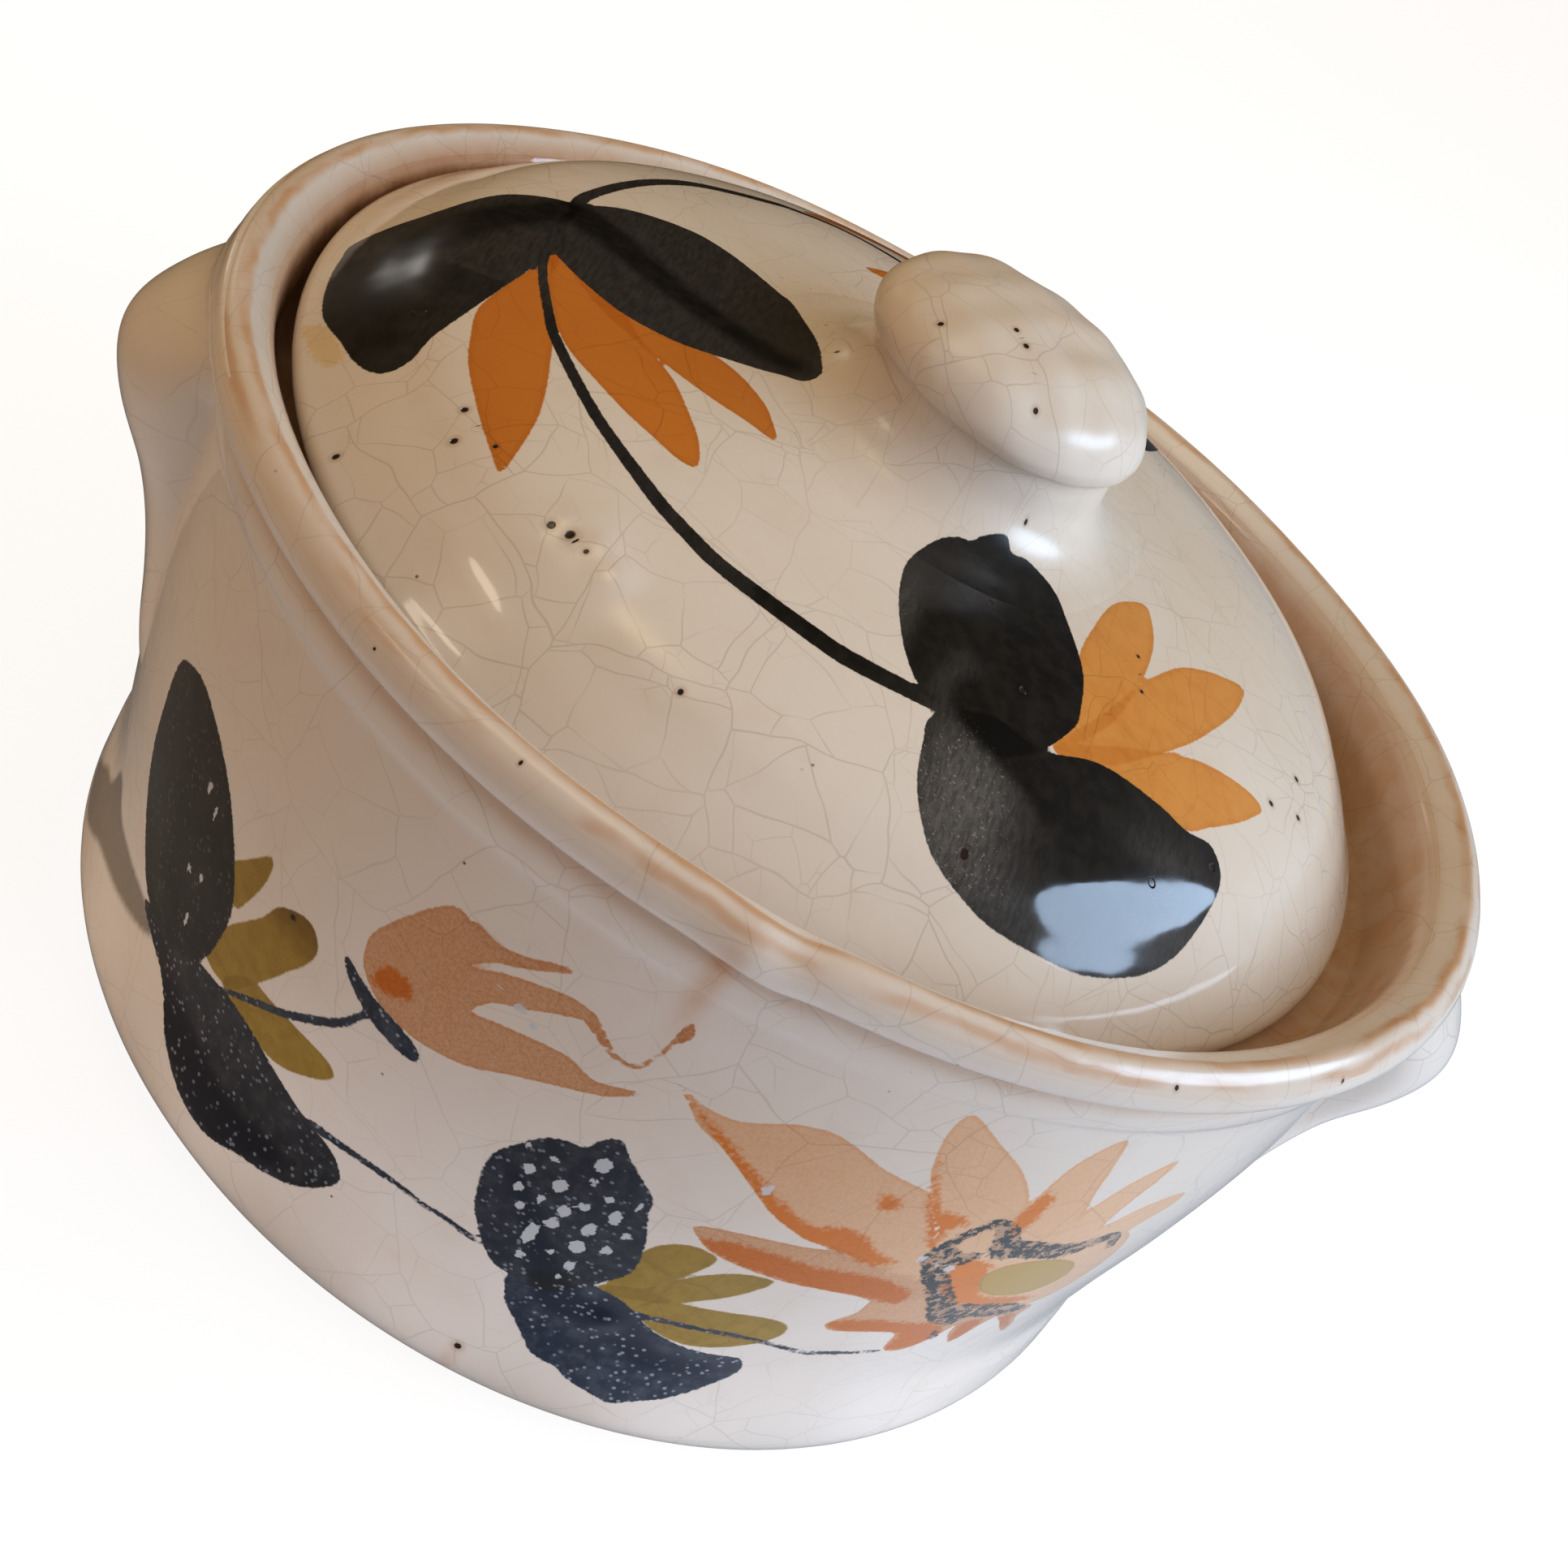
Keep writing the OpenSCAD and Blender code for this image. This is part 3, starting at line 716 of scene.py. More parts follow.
def paint_lid(piece, x, y, on_top, pins_a, pins_b, soft=0.0):
    ink, orange = Layer(x, y), Layer(x, y)
    for outline in LID_INK:
        ink.stroke(outline)
    for points, widths in LID_STEMS:
        ink.line(points, widths)
    for outline in LID_ORANGE:
        orange.stroke(outline)
    wear = (0.45 * hump(np.hypot(x + 1, (y + 46) / 3), 2.6) + 0.85 * hump(np.hypot((x - 15) / 1.1, (y + 69) / 1.3), 8)
            + 0.4 * hump(np.hypot((x - 49) / 1.3, (y + 61) / 1.3), 7) + 0.3 * hump(y + 78, 4) * (x > 10)
            + 0.25 * hump(np.hypot((x - 10) / 0.8, (y + 53) / 1.5), 4)
            + np.where(x < -20, np.where(y > -20 - 0.2 * (x + 66), 0.24, 0.1), 0))
    ink.tone = np.clip(wear, 0, 1)
    orange.tone = np.where(x > 0, 0.7, 0.1)
    for layer in (ink, orange):
        layer.edge[~on_top] = FAR
        layer.overlap[~on_top] = FAR
    ink.save(piece, "ink")
    orange.save(piece, "orange")
    put_spots(piece, "pins_a", x, y, pins_a)
    put_spots(piece, "pins_b", x, y, pins_b)
    smear = inside_distance(x, y, [(-88, -31), (-86.5, -34), (-84.5, -37), (-81.5, -40), (-80.5, -38), (-83, -34.5),
                                   (-85.5, -31)])
    rib = np.full(len(x), FAR)
    for points, widths in LID_RIBS:
        rib = np.maximum(rib, line_distance(x, y, points, widths))
    put_vector(piece, "more", np.column_stack([smear, rib, 0 * rib + soft]))


# ---------------------------------------------------------------- materials

def srgb(r, g, b):
    """A colour given as 0 to 255 screen values, as the linear values that shaders take."""
    def linear(v):
        v /= 255
        return v / 12.92 if v <= 0.04045 else ((v + 0.055) / 1.055) ** 2.4
    return (linear(r), linear(g), linear(b), 1)


class Graph:
    """Short names for building a node material."""

    def __init__(self, name):
        self.material = bpy.data.materials.new(name)
        self.material.use_nodes = True
        self.tree = self.material.node_tree
        self.shader = next((n for n in self.tree.nodes if n.type == "BSDF_PRINCIPLED"), None)
        if self.shader is None:
            self.shader = self.tree.nodes.new("ShaderNodeBsdfPrincipled")
            output = self.tree.nodes.new("ShaderNodeOutputMaterial")
            self.tree.links.new(self.shader.outputs[0], output.inputs[0])

    def node(self, kind, **settings):
        made = self.tree.nodes.new("ShaderNode" + kind)
        for key, value in settings.items():
            setattr(made, key, value)
        return made

    def feed(self, socket, value):
        if isinstance(value, bpy.types.NodeSocket):
            self.tree.links.new(value, socket)
        else:
            socket.default_value = value

    def math(self, operation, a, b=0.0, c=0.0, clamp=False):
        made = self.node("Math", operation=operation, use_clamp=clamp)
        for socket, value in zip(made.inputs, (a, b, c)):
            self.feed(socket, value)
        return made.outputs[0]

    def times(self, a, b):
        return self.math("MULTIPLY", a, b)

    def plus(self, a, b):
        return self.math("ADD", a, b)

    def ramp(self, value, low, high, to_low=0.0, to_high=1.0):
        """Rises smoothly from one value to another as its input goes from low to high."""
        made = self.node("MapRange", interpolation_type="SMOOTHSTEP")
        for socket, v in zip(made.inputs, (value, low, high, to_low, to_high)):
            self.feed(socket, v)
        return made.outputs[0]

    def mix(self, share, a, b, how="MIX"):
        made = self.node("Mix", data_type="RGBA", blend_type=how)
        self.feed(made.inputs[0], share)
        self.feed(made.inputs[6], a)
        self.feed(made.inputs[7], b)
        return made.outputs[2]

    def vector(self, operation, a, b=(0, 0, 0)):
        made = self.node("VectorMath", operation=operation)
        self.feed(made.inputs[0], a)
        self.feed(made.inputs[1], b)
        return made.outputs["Value" if operation in ("LENGTH", "DISTANCE") else "Vector"]

    def attribute(self, name):
        return self.node("Attribute", attribute_name=name)

    def split(self, vector):
        made = self.node("SeparateXYZ")
        self.feed(made.inputs[0], vector)
        return made.outputs[0], made.outputs[1], made.outputs[2]

    def place(self):
        """Millimetres in the object's own frame."""
        return self.vector("MULTIPLY", self.node("TexCoord").outputs["Object"], (1000, 1000, 1000))

    def noise(self, place, size, detail=2.0, rough=0.5, colour=False):
        """Noise whose blobs are about so many millimetres across."""
        made = self.node("TexNoise")
        self.feed(made.inputs["Vector"], place)
        made.inputs["Scale"].default_value = 1 / size
        made.inputs["Detail"].default_value = detail
        made.inputs["Roughness"].default_value = rough
        return made.outputs["Color" if colour else "Fac"]

    def cells(self, place, size, feature="F1", output="Distance", flat=False):
        made = self.node("TexVoronoi", feature=feature, voronoi_dimensions="2D" if flat else "3D")
        self.feed(made.inputs["Vector"], place)
        made.inputs["Scale"].default_value = 1 / size
        return made.outputs[output]

    def net(self, chart, size, width):
        """Fine lines between cells of a flat chart, and a random offset for each cell."""
        gap = self.times(self.cells(chart, size, "DISTANCE_TO_EDGE", flat=True), size)
        own = self.vector("MULTIPLY", self.cells(chart, size, "F1", "Color", flat=True), (90.0, 70.0, 50.0))
        return self.ramp(gap, width * 0.3, width, 1.0, 0.0), own

    def bump(self, height, distance, strength=1.0, normal=None):
        made = self.node("Bump")
        made.inputs["Strength"].default_value = strength
        made.inputs["Distance"].default_value = distance
        self.feed(made.inputs["Height"], height)
        if normal is not None:
            self.feed(made.inputs["Normal"], normal)
        return made.outputs["Normal"]


def crazing(g, place, size):
    """Share of craze line. Long cracks come first; shorter ones run between them and stop there."""
    chart = g.attribute("chart").outputs["Vector"]
    bend = g.vector("SUBTRACT", g.noise(place, 16, 2.0, colour=True), (0.5, 0.5, 0.5))
    chart = g.vector("ADD", chart, g.vector("MULTIPLY", bend, (6.0, 6.0, 6.0)))
    first, own = g.net(chart, size * 1.9, 0.19)
    chart = g.vector("ADD", chart, own)
    second, own = g.net(chart, size, 0.17)
    chart = g.vector("ADD", chart, own)
    third, own = g.net(chart, size * 0.6, 0.15)
    uneven = g.noise(place, 13, 2.0)
    second = g.times(second, g.ramp(uneven, 0.36, 0.52, 0.3, 0.9))
    third = g.times(third, g.ramp(uneven, 0.50, 0.66, 0.0, 0.6))
    return g.math("MAXIMUM", g.times(first, 0.9), g.math("MAXIMUM", second, third))


def cover(g, field, place, ragged=0.15, soft=0.12, grain=0.7):
    """Share of paint inside an edge field in millimetres, with a slightly uneven edge."""
    uneven = g.times(g.math("SUBTRACT", g.noise(place, grain, 2.0), 0.5), ragged * 2)
    return g.ramp(g.plus(field, uneven), -soft, soft)


def stained(g, colour, share, tint):
    """Glaze seen through so much of a transparent stain."""
    return g.mix(share, colour, g.mix(1.0, colour, tint, "MULTIPLY"))


def spots(g, colour, names):
    """Pinholes in the glaze: a dark pit with a thin brown halo."""
    pit = None
    for name in names:
        away = g.vector("LENGTH", g.attribute(name).outputs["Vector"])
        ring = g.ramp(away, 0.6, 0.95, 1.0, 0.0)
        halo = g.ramp(away, 0.9, 2.4, 0.4, 0.0)
        colour = stained(g, colour, halo, (0.62, 0.48, 0.36, 1))
        colour = g.mix(ring, colour, srgb(38, 28, 22))
        pit = ring if pit is None else g.math("MAXIMUM", pit, ring)
    return colour, g.math("SUBTRACT", 1.0, pit)


POT_WHITE = (0.64, 0.61, 0.585, 1)
LID_IVORY = (0.655, 0.615, 0.57, 1)


def base_glaze(g, place, colour, blotch, seed, craze_size, craze_depth):
    """Glaze with slow colour changes, tiny iron specks and a craze net."""
    slow = g.noise(place, 45, 2.0)
    tone = g.mix(g.ramp(slow, 0.35, 0.65), colour, blotch)
    cloud = g.noise(place, 9, 3.0, 0.6)
    tone = stained(g, tone, g.ramp(cloud, 0.5, 0.75, 0.0, 0.35), (0.93, 0.88, 0.82, 1))
    line = crazing(g, place, craze_size)
    line = g.times(line, g.ramp(g.noise(place, 30, 2.0), 0.35, 0.6, craze_depth * 0.5, craze_depth))
    tone = stained(g, tone, line, (0.45, 0.41, 0.39, 1))
    speck = g.cells(g.vector("ADD", place, (seed, 0.0, 0.0)), 5.5)
    chosen = g.ramp(g.noise(place, 14, 1.0), 0.60, 0.66)
    tone = stained(g, tone, g.times(g.ramp(speck, 0.03, 0.055, 1.0, 0.0), chosen), (0.3, 0.22, 0.16, 1))
    return tone


def pot_material():
    g = Graph("pot_painted_glaze")
    place = g.place()
    px, py, pz = g.split(place)
    colour = base_glaze(g, place, POT_WHITE, (0.62, 0.575, 0.53, 1), 3.0, 11.5, 0.30)

    ink_edge, ink_over, ink_tone = g.split(g.attribute("ink").outputs["Vector"])
    orange_edge, orange_over, orange_tone = g.split(g.attribute("orange").outputs["Vector"])
    olive_edge, olive_over, olive_tone = g.split(g.attribute("olive").outputs["Vector"])
    deep_edge, grey_edge, centre_edge = g.split(g.attribute("more").outputs["Vector"])
    fleck, rib, _ = g.split(g.attribute("fleck").outputs["Vector"])
    fine = g.noise(place, 0.45, 3.0, 0.75)
    mid = g.noise(place, 2.4, 3.0, 0.6)

    # Olive petals
    share = cover(g, olive_edge, place, 0.2, 0.2)
    colour = stained(g, colour, share, (0.45, 0.315, 0.045, 1))
    colour = stained(g, colour, g.times(share, g.ramp(mid, 0.35, 0.7, 0.0, 0.5)), (0.74, 0.66, 0.45, 1))
    colour = stained(g, colour, g.times(cover(g, olive_over, place), 0.6), (0.72, 0.66, 0.45, 1))
    brown = g.times(g.times(share, olive_tone), g.ramp(pz, 54.0, 62.0))
    colour = stained(g, colour, brown, (0.45, 0.33, 0.3, 1))

    # Orange petals: a pale grained wash, with solid orange where the brush was full
    share = cover(g, orange_edge, place, 0.2, 0.15)
    pale = g.mix(orange_tone, (0.60, 0.27, 0.10, 1), (1.0, 0.66, 0.41, 1))
    grain = g.ramp(fine, 0.36, 0.62)
    wash = g.mix(g.times(grain, 0.28), pale, (1.0, 0.84, 0.68, 1))
    colour = stained(g, colour, share, wash)
    full = g.times(share, cover(g, deep_edge, place, 1.4, 0.7, 0.8))
    full = g.math("MAXIMUM", full, g.times(share, g.ramp(orange_edge, 0.15, 0.8, 0.2, 0.0)))
    colour = stained(g, colour, full, (0.92, 0.42, 0.055, 1))
    core = g.times(cover(g, olive_edge, place, 0.4, 0.5), cover(g, orange_edge, place))
    colour = g.mix(g.times(core, 0.85), colour, srgb(176, 148, 78))

    # Grey brush marks of the flower's heart and the thin leaf under the left lug
    grey = cover(g, grey_edge, place, 0.3, 0.9)
    colour = stained(g, colour, grey, (0.36, 0.34, 0.31, 1))
    heart = cover(g, centre_edge, place, 0.9, 0.25, 1.0)
    streak = g.ramp(g.noise(place, 1.5, 3.0, 0.7), 0.46, 0.56)
    colour = g.mix(g.times(heart, g.math("SUBTRACT", 1.0, g.times(streak, 0.65))), colour, srgb(44, 50, 56))

    # Blue-black leaves and the berry, with pale specks where the glaze has pushed through
    share = cover(g, ink_edge, place, 0.35, 0.16)
    warm = g.mix(g.ramp(ink_tone, 0.2, 0.5), srgb(17, 15, 13), srgb(15, 26, 48))
    dark = g.mix(cover(g, ink_over, place, 0.3, 0.5), warm, srgb(14, 14, 16))
    worn = g.mix(g.ramp(ink_tone, 0.25, 0.5), srgb(56, 52, 48), srgb(70, 79, 90))
    patchy = g.times(g.ramp(mid, 0.4, 0.7, 0.2, 0.6), g.ramp(ink_tone, 0.05, 0.45, 0.5, 1.0))
    dark = g.mix(g.times(patchy, g.ramp(rib, -1.5, 1.5, 1.0, 0.0)), dark, worn)
    speck = g.cells(place, 1.3)
    many = g.times(g.ramp(speck, 0.14, 0.32, 1.0, 0.0), g.ramp(g.noise(place, 4.0), 0.36, 0.54))
    dark = g.mix(g.times(many, g.plus(g.times(ink_tone, 1.3), 0.03)), dark, srgb(140, 150, 164))
    colour = g.mix(share, colour, dark)
    jagged = g.times(g.math("SUBTRACT", g.noise(place, 1.1, 2.0, 0.7), 0.5), 0.9)
    open_spot = g.ramp(g.plus(fleck, jagged), -0.05, 0.1)
    colour = g.mix(g.times(open_spot, 0.85), colour, srgb(186, 193, 200))

    # Thin glaze along the lip's crest shows the clay, and the foot is bare
    rim = g.attribute("rim").outputs["Fac"]
    wander = g.times(g.math("SUBTRACT", g.noise(place, 11, 3.0), 0.5), 2.4)
    band = g.ramp(g.math("ABSOLUTE", g.plus(rim, wander)), 0.1, 1.3, 1.0, 0.0)
    band = g.times(band, g.ramp(g.noise(place, 16, 2.0), 0.3, 0.6, 0.4, 1.0))
    outer = g.ramp(g.math("ABSOLUTE", g.plus(g.plus(rim, wander), -2.6)), 0.1, 0.9, 0.7, 0.0)
    outer = g.times(outer, g.ramp(g.noise(place, 21, 2.0), 0.42, 0.56))
    colour = stained(g, colour, g.math("MAXIMUM", band, outer), (0.82, 0.57, 0.38, 1))
    roll = g.times(g.ramp(rim, 0.0, 1.5), g.ramp(rim, 20.0, 25.0, 0.24, 0.0))
    colour = stained(g, colour, roll, (0.90, 0.74, 0.62, 1))
    # Brown stain, with painted shade in the gallery under the lid; values over 1 add a deeper painted shade in the gap
    # at the far left
    stain_and_shade = g.times(g.attribute("stain_and_shade").outputs["Fac"], g.ramp(g.noise(place, 9, 3.0, 0.6), 0.25, 0.65, 0.7, 1.0))
    colour = stained(g, colour, g.math("MINIMUM", stain_and_shade, 1.0), (0.82, 0.56, 0.39, 1))
    colour = stained(g, colour, g.ramp(stain_and_shade, 1.0, 1.9), (0.58, 0.40, 0.29, 1))
    foot = g.ramp(g.plus(pz, g.times(mid, 0.8)), 1.5, 2.2, 1.0, 0.0)
    under = g.attribute("inside").outputs["Fac"]
    foot = g.times(foot, g.math("SUBTRACT", 1.0, under))
    clay = g.mix(g.noise(place, 1.5, 4.0), srgb(176, 140, 110), srgb(205, 172, 140))
    colour = g.mix(foot, colour, clay)
    colour, craters = spots(g, colour, ["pins_a"])

    g.feed(g.shader.inputs["Base Color"], colour)
    rough = g.ramp(g.noise(place, 7, 2.0), 0.3, 0.7, 0.05, 0.10)
    rough = g.plus(rough, g.times(share, 0.06))
    rough = g.plus(rough, g.ramp(g.math("ABSOLUTE", rim), 3.0, 6.0, 0.13, 0.0))
    g.feed(g.shader.inputs["Roughness"], g.plus(rough, g.times(foot, 0.65)))
    peel = g.bump(g.noise(place, 6, 2.0), 0.0002, 0.5)
    g.feed(g.shader.inputs["Normal"], g.bump(craters, 0.0003, 1.0, peel))
    g.shader.inputs["IOR"].default_value = 1.5
    return g.material


def lid_material():
    g = Graph("lid_painted_glaze")
    place = g.place()
    colour = base_glaze(g, place, LID_IVORY, (0.625, 0.575, 0.515, 1), 11.0, 9.5, 0.38)
    ink_edge, ink_over, ink_tone = g.split(g.attribute("ink").outputs["Vector"])
    orange_edge, orange_over, orange_tone = g.split(g.attribute("orange").outputs["Vector"])
    smear, rib, soft = g.split(g.attribute("more").outputs["Vector"])
    fine = g.noise(place, 0.5, 2.0, 0.6)
    mid = g.noise(place, 3.0, 3.0, 0.6)
    colour = stained(g, colour, g.times(cover(g, smear, place, 0.8, 0.4), 0.7), (0.95, 0.75, 0.42, 1))
    share = cover(g, orange_edge, place, 0.15, 0.12)
    tint = g.mix(orange_tone, (0.74, 0.25, 0.034, 1), (1.0, 0.53, 0.15, 1))
    tint = g.mix(g.ramp(mid, 0.35, 0.7, 0.0, 0.3), tint, (0.75, 0.27, 0.045, 1))
    colour = stained(g, colour, share, tint)
    colour = stained(g, colour, g.times(cover(g, orange_over, place, 0.2, 0.3), 0.7), (0.86, 0.68, 0.45, 1))
    rim = g.times(share, g.ramp(orange_edge, 0.1, 1.1, 0.25, 0.0))
    colour = stained(g, colour, rim, (0.75, 0.6, 0.4, 1))
    share = cover(g, ink_edge, place, 0.15, 0.1)
    dark = g.mix(g.ramp(mid, 0.35, 0.7), srgb(18, 17, 16), srgb(30, 28, 26))
    dark = g.mix(cover(g, ink_over, place, 0.3, 0.4), dark, srgb(10, 10, 10))
    streak = g.noise(g.vector("MULTIPLY", place, (2.2, 0.4, 1.0)), 1.3, 3.0, 0.65)
    grey = g.times(g.times(ink_tone, g.ramp(streak, 0.30, 0.72, 0.45, 1.0)), g.ramp(rib, -2.5, 1.0, 1.0, 0.0))
    dark = g.mix(grey, dark, srgb(100, 99, 99))
    dust = g.times(g.ramp(fine, 0.60, 0.72, 0.0, 0.7), g.ramp(ink_tone, 0.25, 0.6))
    dark = g.mix(dust, dark, srgb(140, 136, 130))
    colour = g.mix(share, colour, dark)
    colour, craters = spots(g, colour, ["pins_a", "pins_b", "pins_c"])
    g.feed(g.shader.inputs["Base Color"], colour)
    rough = g.ramp(g.noise(place, 7, 2.0), 0.3, 0.7, 0.04, 0.08)
    rough = g.plus(rough, g.times(g.times(share, ink_tone), 0.09))
    g.feed(g.shader.inputs["Roughness"], g.plus(rough, g.times(soft, 0.22)))
    peel = g.bump(g.noise(place, 8, 1.0), 0.0002, 0.5)
    g.feed(g.shader.inputs["Normal"], g.bump(craters, 0.0003, 1.0, peel))
    g.shader.inputs["IOR"].default_value = 1.5
    return g.material


# ---------------------------------------------------------------- building the object

WALL_PINS = [(-121.4, 61.2, 0.6), (-93.2, 12, 0.7), (-62, 108.9, 0.35), (-44.9, 108.3, 0.35), (-123, 107.5, 0.22),
             (-111, 109.5, 0.25)]
# Spots lower than the cap are listed 100 mm to the right
KNOB_PINS = [(-14.2, -13.8, 0.5), (-4.4, -9.1, 0.5), (-2.3, -11.1, 0.55), (2.7, -19.2, 0.5), (111.3, -19.6, 0.3),
             (77.2, -3.5, 0.3)]

pot_skin = pot_material()
lid_skin = lid_material()

pot, pot_az, pot_z, pot_r, pot_inside, pot_run = build_pot()
put_vector(pot, "chart", np.column_stack([pot_az * WALL_MM_PER_DEG, pot_run, 0 * pot_run]))
paint_wall(pot, pot_az, np.where((pot_inside > 0) | (pot_r < 88), -60, pot_z))
put_spots(pot, "pins_a", wrapped(pot_az) * WALL_MM_PER_DEG, np.where(pot_inside > 0, -60, pot_z),
          [(a * WALL_MM_PER_DEG, h, size) for a, h, size in WALL_PINS])
# Brown marks and painted shade in the gallery under the lid, one value per vertex
put_float(pot, "stain_and_shade", clay_stain_and_shade(pot_az, pot_z, pot_r, pot_inside > 0))
crest_gap = np.where(pot_z > 107.5, pot_r - 103.4, 30)
put_float(pot, "rim", crest_gap)
put_float(pot, "inside", pot_inside)
pot.data.materials.append(pot_skin)

for name, node, centre, drop in (("lug_left_clay", "lug_left", -168.45, 0), ("lug_right_clay", "lug_right", -11.55, 1.7)):
    lug, lug_az, lug_z, lug_chart = build_lug(name, node, centre, drop)
    put_vector(lug, "chart", lug_chart)
    paint_wall(lug, lug_az, lug_z)
    put_spots(lug, "pins_a", lug_az * 0, lug_z, [])
    put_float(lug, "rim", np.full(len(lug_z), 30.0))
    put_float(lug, "inside", np.zeros(len(lug_z)))
    put_float(lug, "stain_and_shade", np.zeros(len(lug_z)))
    lug.data.materials.append(pot_skin)

lid, lid_x, lid_y, lid_top, lid_chart = build_lid()
paint_lid(lid, lid_x, lid_y, lid_top, LID_PINS_A, LID_PINS_B, np.clip((47 - np.hypot(lid_x, lid_y)) / 9, 0, 1))
put_spots(lid, "pins_c", lid_x, lid_y, [])
put_vector(lid, "chart", lid_chart)
lid.data.materials.append(lid_skin)
knob, knob_x, knob_y, knob_z, knob_chart = build_knob()
paint_lid(knob, knob_x, knob_y, (knob_z > 20) & (knob_z < 32), [], [], np.interp(knob_z, [26, 30, 36, 38], [1, 0.5, 0.5, 1.1]))
put_spots(knob, "pins_c", np.where(knob_z < 36, knob_x + 100, knob_x), knob_y, KNOB_PINS)
put_vector(knob, "chart", knob_chart)
knob.data.materials.append(lid_skin)


# ---------------------------------------------------------------- floor, light and camera

def facing(location, target):
    return (Vector(target) - Vector(location)).to_track_quat("-Z", "Y")


def area_light(name, direction, distance, width, height, power, part, shape="RECTANGLE", target=(0, 0, 0.08)):
    """A soft flat light towards the pot, with its power in watts of red, green and blue."""
    data = bpy.data.lights.new(name, "AREA")
    data.shape = shape
    data.size, data.size_y = width, height
    data.energy = max(power)
    data.color = [v / max(power) for v in power]
    light = bpy.data.objects.new(name, data)
    light.rotation_mode = "QUATERNION"
    light.location = Vector(target) + Vector(direction).normalized() * distance
    light.rotation_quaternion = facing(light.location, target)
    light.visible_glossy = part == "card"
    light.visible_diffuse = part == "fill"
    light.visible_camera = False
    bpy.context.scene.collection.objects.link(light)


def stage_floor():
    """A pale floor that shows a faint shadow and lights nothing itself."""
    half = 4.0
    mesh = bpy.data.meshes.new("floor")
    mesh.from_pydata([(-half, -half, 0), (half, -half, 0), (half, half, 0), (-half, half, 0)], [], [(0, 1, 2, 3)])
    floor = bpy.data.objects.new("floor", mesh)
    bpy.context.scene.collection.objects.link(floor)
    g = Graph("floor_paint")
    g.shader.inputs["Base Color"].default_value = (0.20, 0.205, 0.215, 1)
    g.shader.inputs["Roughness"].default_value = 1.0
    g.shader.inputs["Specular IOR Level"].default_value = 0.0
    g.shader.inputs["Emission Color"].default_value = (1, 1, 1, 1)
    g.shader.inputs["Emission Strength"].default_value = 0.86
    mesh.materials.append(g.material)
    floor.visible_diffuse = False
    floor.visible_glossy = False


# The room's light by direction, as the clay takes it in and as the glaze mirrors it
# as (direction, narrowness, colour)
ROOM = [((0, 0, -1), 2, (0.62, 0.70, 0.73)), ((0, 0, 1), 2, (0.90, 0.68, 0.40)), ((-1, 0, -0.3), 2, (0.70, 0.42, 0.22)),
        ((1, 0, -0.3), 2, (2.0, 1.8, 1.85))]
ROOM_IN_GLAZE = [((0, 0, -1), 2, (0.12, 0.13, 0.14)), ((0, 0, 1), 2, (0.10, 0.08, 0.05)),
                 ((-1, 0, -0.3), 2, (0.2, 0.13, 0.07)), ((1, 0, -0.3), 2, (0.75, 0.8, 0.9)),
                 ((-0.62, 0.74, 0.26), 90, (0.25, 0.23, 0.2)),
                 ((-0.62, 0.74, 0.26), 600, (1.8, 1.75, 1.65)), ((-0.22, 0.10, 0.97), 90, (3.4, 2.6, 1.5)),
                 ((-0.66, -0.28, 0.69), 160, (1.6, 1.4, 1.1))]


def studio_world():
    """Plain white behind the object, and a room that is warm on the left and cool on the right."""
    world = bpy.data.worlds.new("studio")
    world.use_nodes = True
    tree = world.node_tree
    tree.nodes.clear()

    def node(kind, *inputs, **settings):
        made = tree.nodes.new("ShaderNode" + kind)
        for key, value in settings.items():
            setattr(made, key, value)
        for socket, value in zip(made.inputs, inputs):
            if isinstance(value, bpy.types.NodeSocket):
                tree.links.new(value, socket)
            else:
                socket.default_value = value
        return made

    towards = node("TexCoord").outputs["Generated"]

    def background(lobes):
        total = None
        for direction, narrow, colour in lobes:
            facing_it = node("VectorMath", towards, Vector(direction).normalized(), operation="DOT_PRODUCT")
            near = node("Math", facing_it.outputs["Value"], 0.0, operation="MAXIMUM").outputs[0]
            near = node("Math", near, float(narrow), operation="POWER").outputs[0]
            part = node("VectorMath", colour, operation="SCALE")
            tree.links.new(near, part.inputs["Scale"])
            part = part.outputs[0]
            total = part if total is None else node("VectorMath", total, part, operation="ADD").outputs[0]
        return node("Background", total, 1.0).outputs[0]

    path = node("LightPath").outputs
    room = node("MixShader", path["Is Glossy Ray"], background(ROOM), background(ROOM_IN_GLAZE)).outputs[0]
    white = node("Background", (1, 1, 1, 1), 1.0).outputs[0]
    node("OutputWorld", node("MixShader", path["Is Camera Ray"], room, white).outputs[0])
    bpy.context.scene.world = world


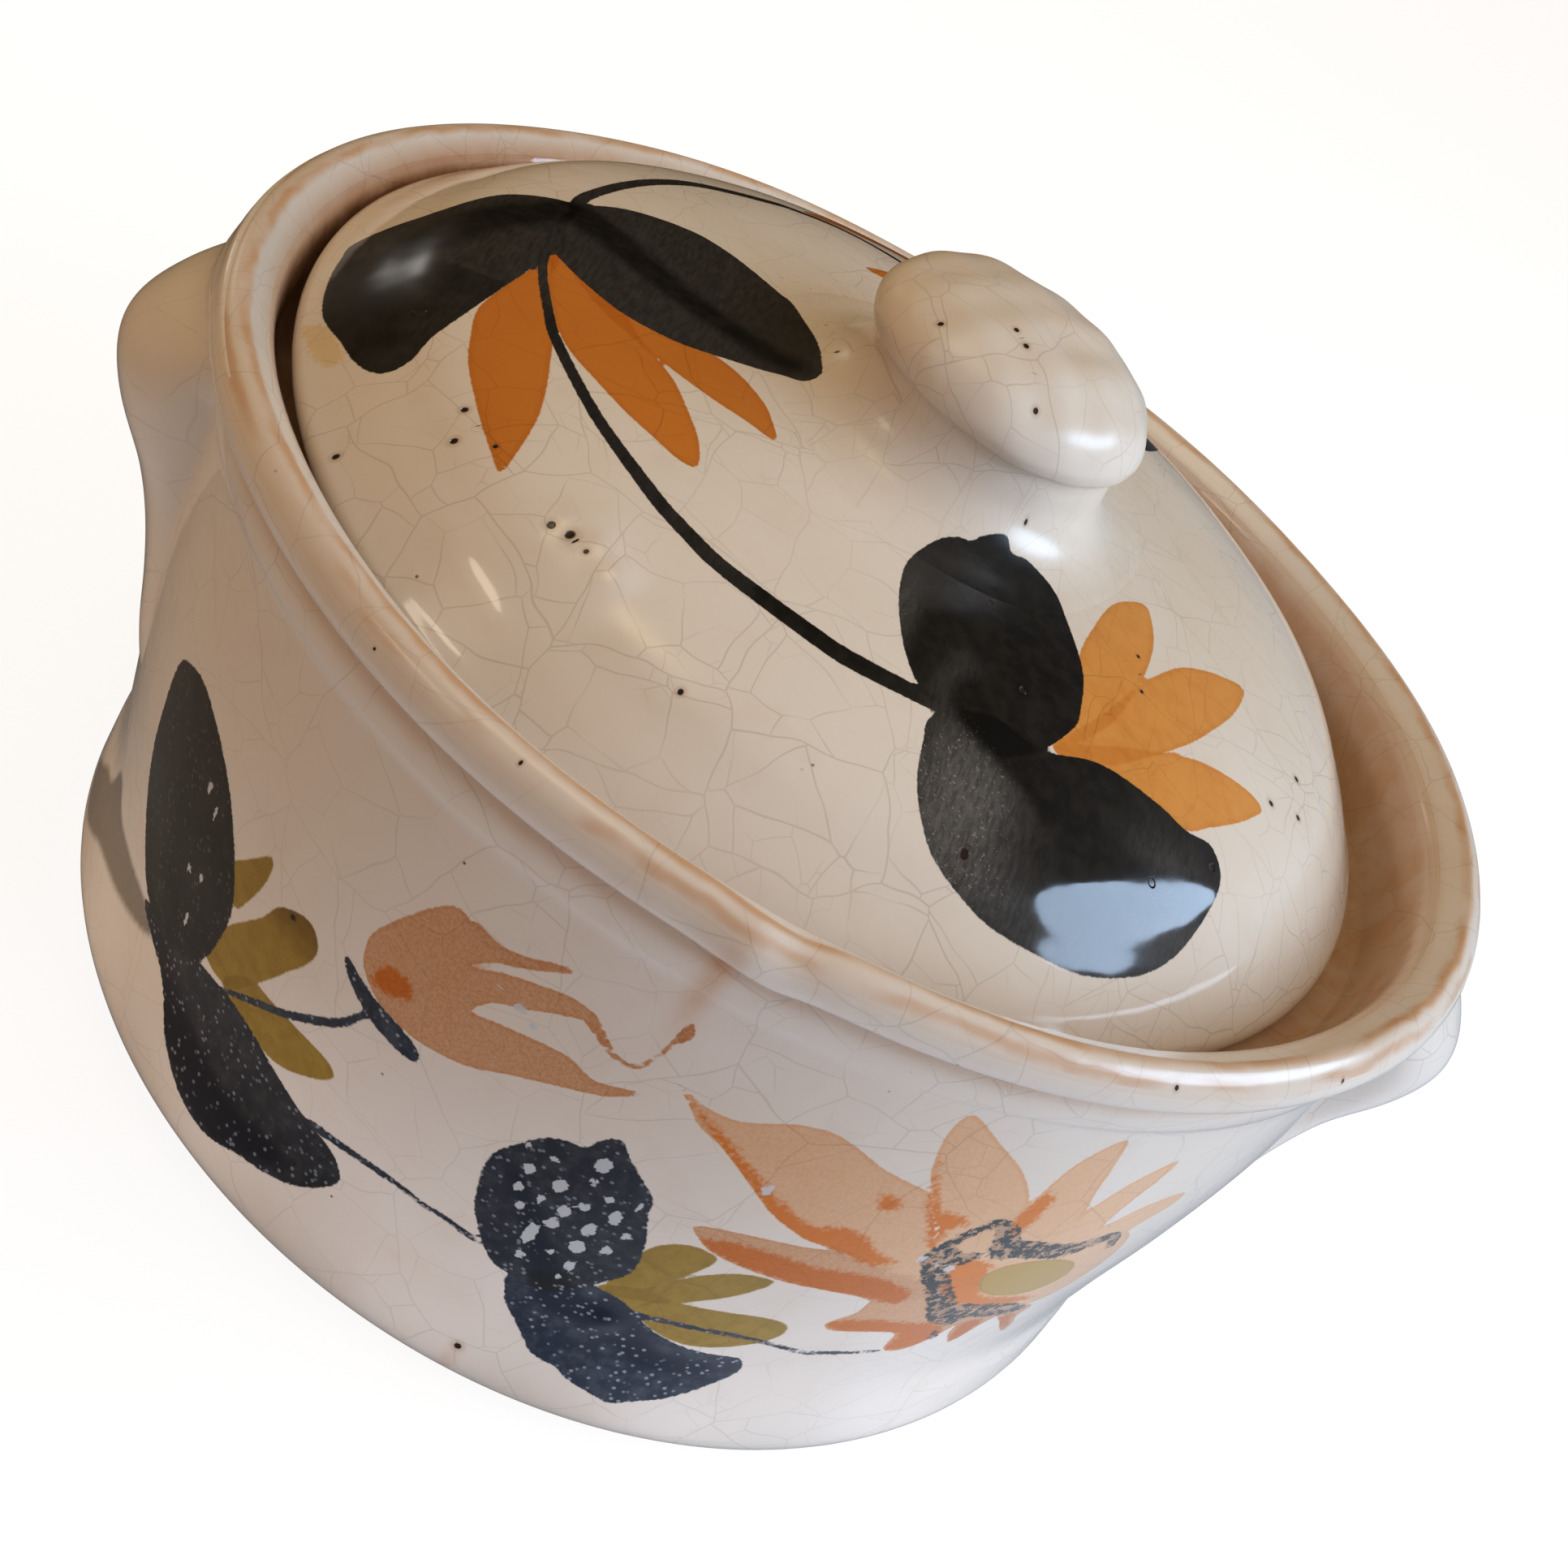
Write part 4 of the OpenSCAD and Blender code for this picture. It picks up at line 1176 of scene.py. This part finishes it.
def photo_camera():
    """A hand-held view from the front and above, rolled to the left."""
    elevation, roll, turn = math.radians(33.93), math.radians(33.94), math.radians(-10.25)
    back = Vector((0, -math.cos(elevation), math.sin(elevation)))
    right = Vector((1, 0, 0))
    up = Vector((0, math.sin(elevation), math.cos(elevation)))
    x = right * math.cos(roll) + up * math.sin(roll)
    y = -right * math.sin(roll) + up * math.cos(roll)
    spin = Matrix.Rotation(turn, 3, "Z")
    axes = [spin @ v for v in (x, y, back)]
    data = bpy.data.cameras.new("camera")
    data.lens = 46.58
    data.sensor_width = 36
    data.clip_start = 0.01
    camera = bpy.data.objects.new("camera", data)
    placed_at = Matrix.Translation(Vector((-44.6, -280.3, 247.7)) * MM)
    camera.matrix_world = placed_at @ Matrix(axes).transposed().to_4x4()
    bpy.context.scene.collection.objects.link(camera)
    bpy.context.scene.camera = camera


stage_floor()
studio_world()
photo_camera()
# Fill light for the clay, and cards that only the glaze mirrors
area_light("fill_right", (0.99, 0.0, 0.14), 1.2, 0.7, 0.7, (3.1, 4.9, 6.1), "fill")
area_light("fill_front_right", (0.70, -0.45, 0.55), 1.2, 0.7, 0.7, (3.6, 4.5, 5.5), "fill")
area_light("fill_front_left", (-0.58, -0.58, 0.57), 1.2, 0.7, 0.7, (1.4, 0.80, 0.57), "fill")
area_light("fill_back_left", (-0.58, 0.58, 0.57), 1.2, 0.7, 0.7, (1.5, 1.0, 0.38), "fill")
area_light("fill_top_right", (0.75, 0.1, 0.65), 1.2, 0.7, 0.7, (1.5, 1.8, 2.1), "fill")
# Light that the table throws back on the lowest part of the wall
for turn in range(-170, 0, 24):
    cool = min(max((turn + 150) / 80, 0), 1)
    power = (0.0074 + 0.0018 * cool, 0.0065 + 0.0037 * cool, 0.0057 + 0.0067 * cool)
    spot = (0.130 * math.cos(math.radians(turn)), 0.130 * math.sin(math.radians(turn)), 0.5)
    area_light("table_%d" % -turn, (0, 0, -1), 0.496, 0.05, 0.05, power, "fill", "ELLIPSE", spot)
area_light("window", (0.785, 0.045, 0.60), 1.1, 0.74, 0.44, (4.9, 6.5, 8.7), "card", "ELLIPSE")
area_light("left_lamp", (-0.66, -0.28, 0.69), 1.2, 0.22, 0.08, (0.22, 0.19, 0.15), "card", "ELLIPSE")
scene = bpy.context.scene
scene.view_settings.view_transform = "Standard"
scene.view_settings.look = "None"
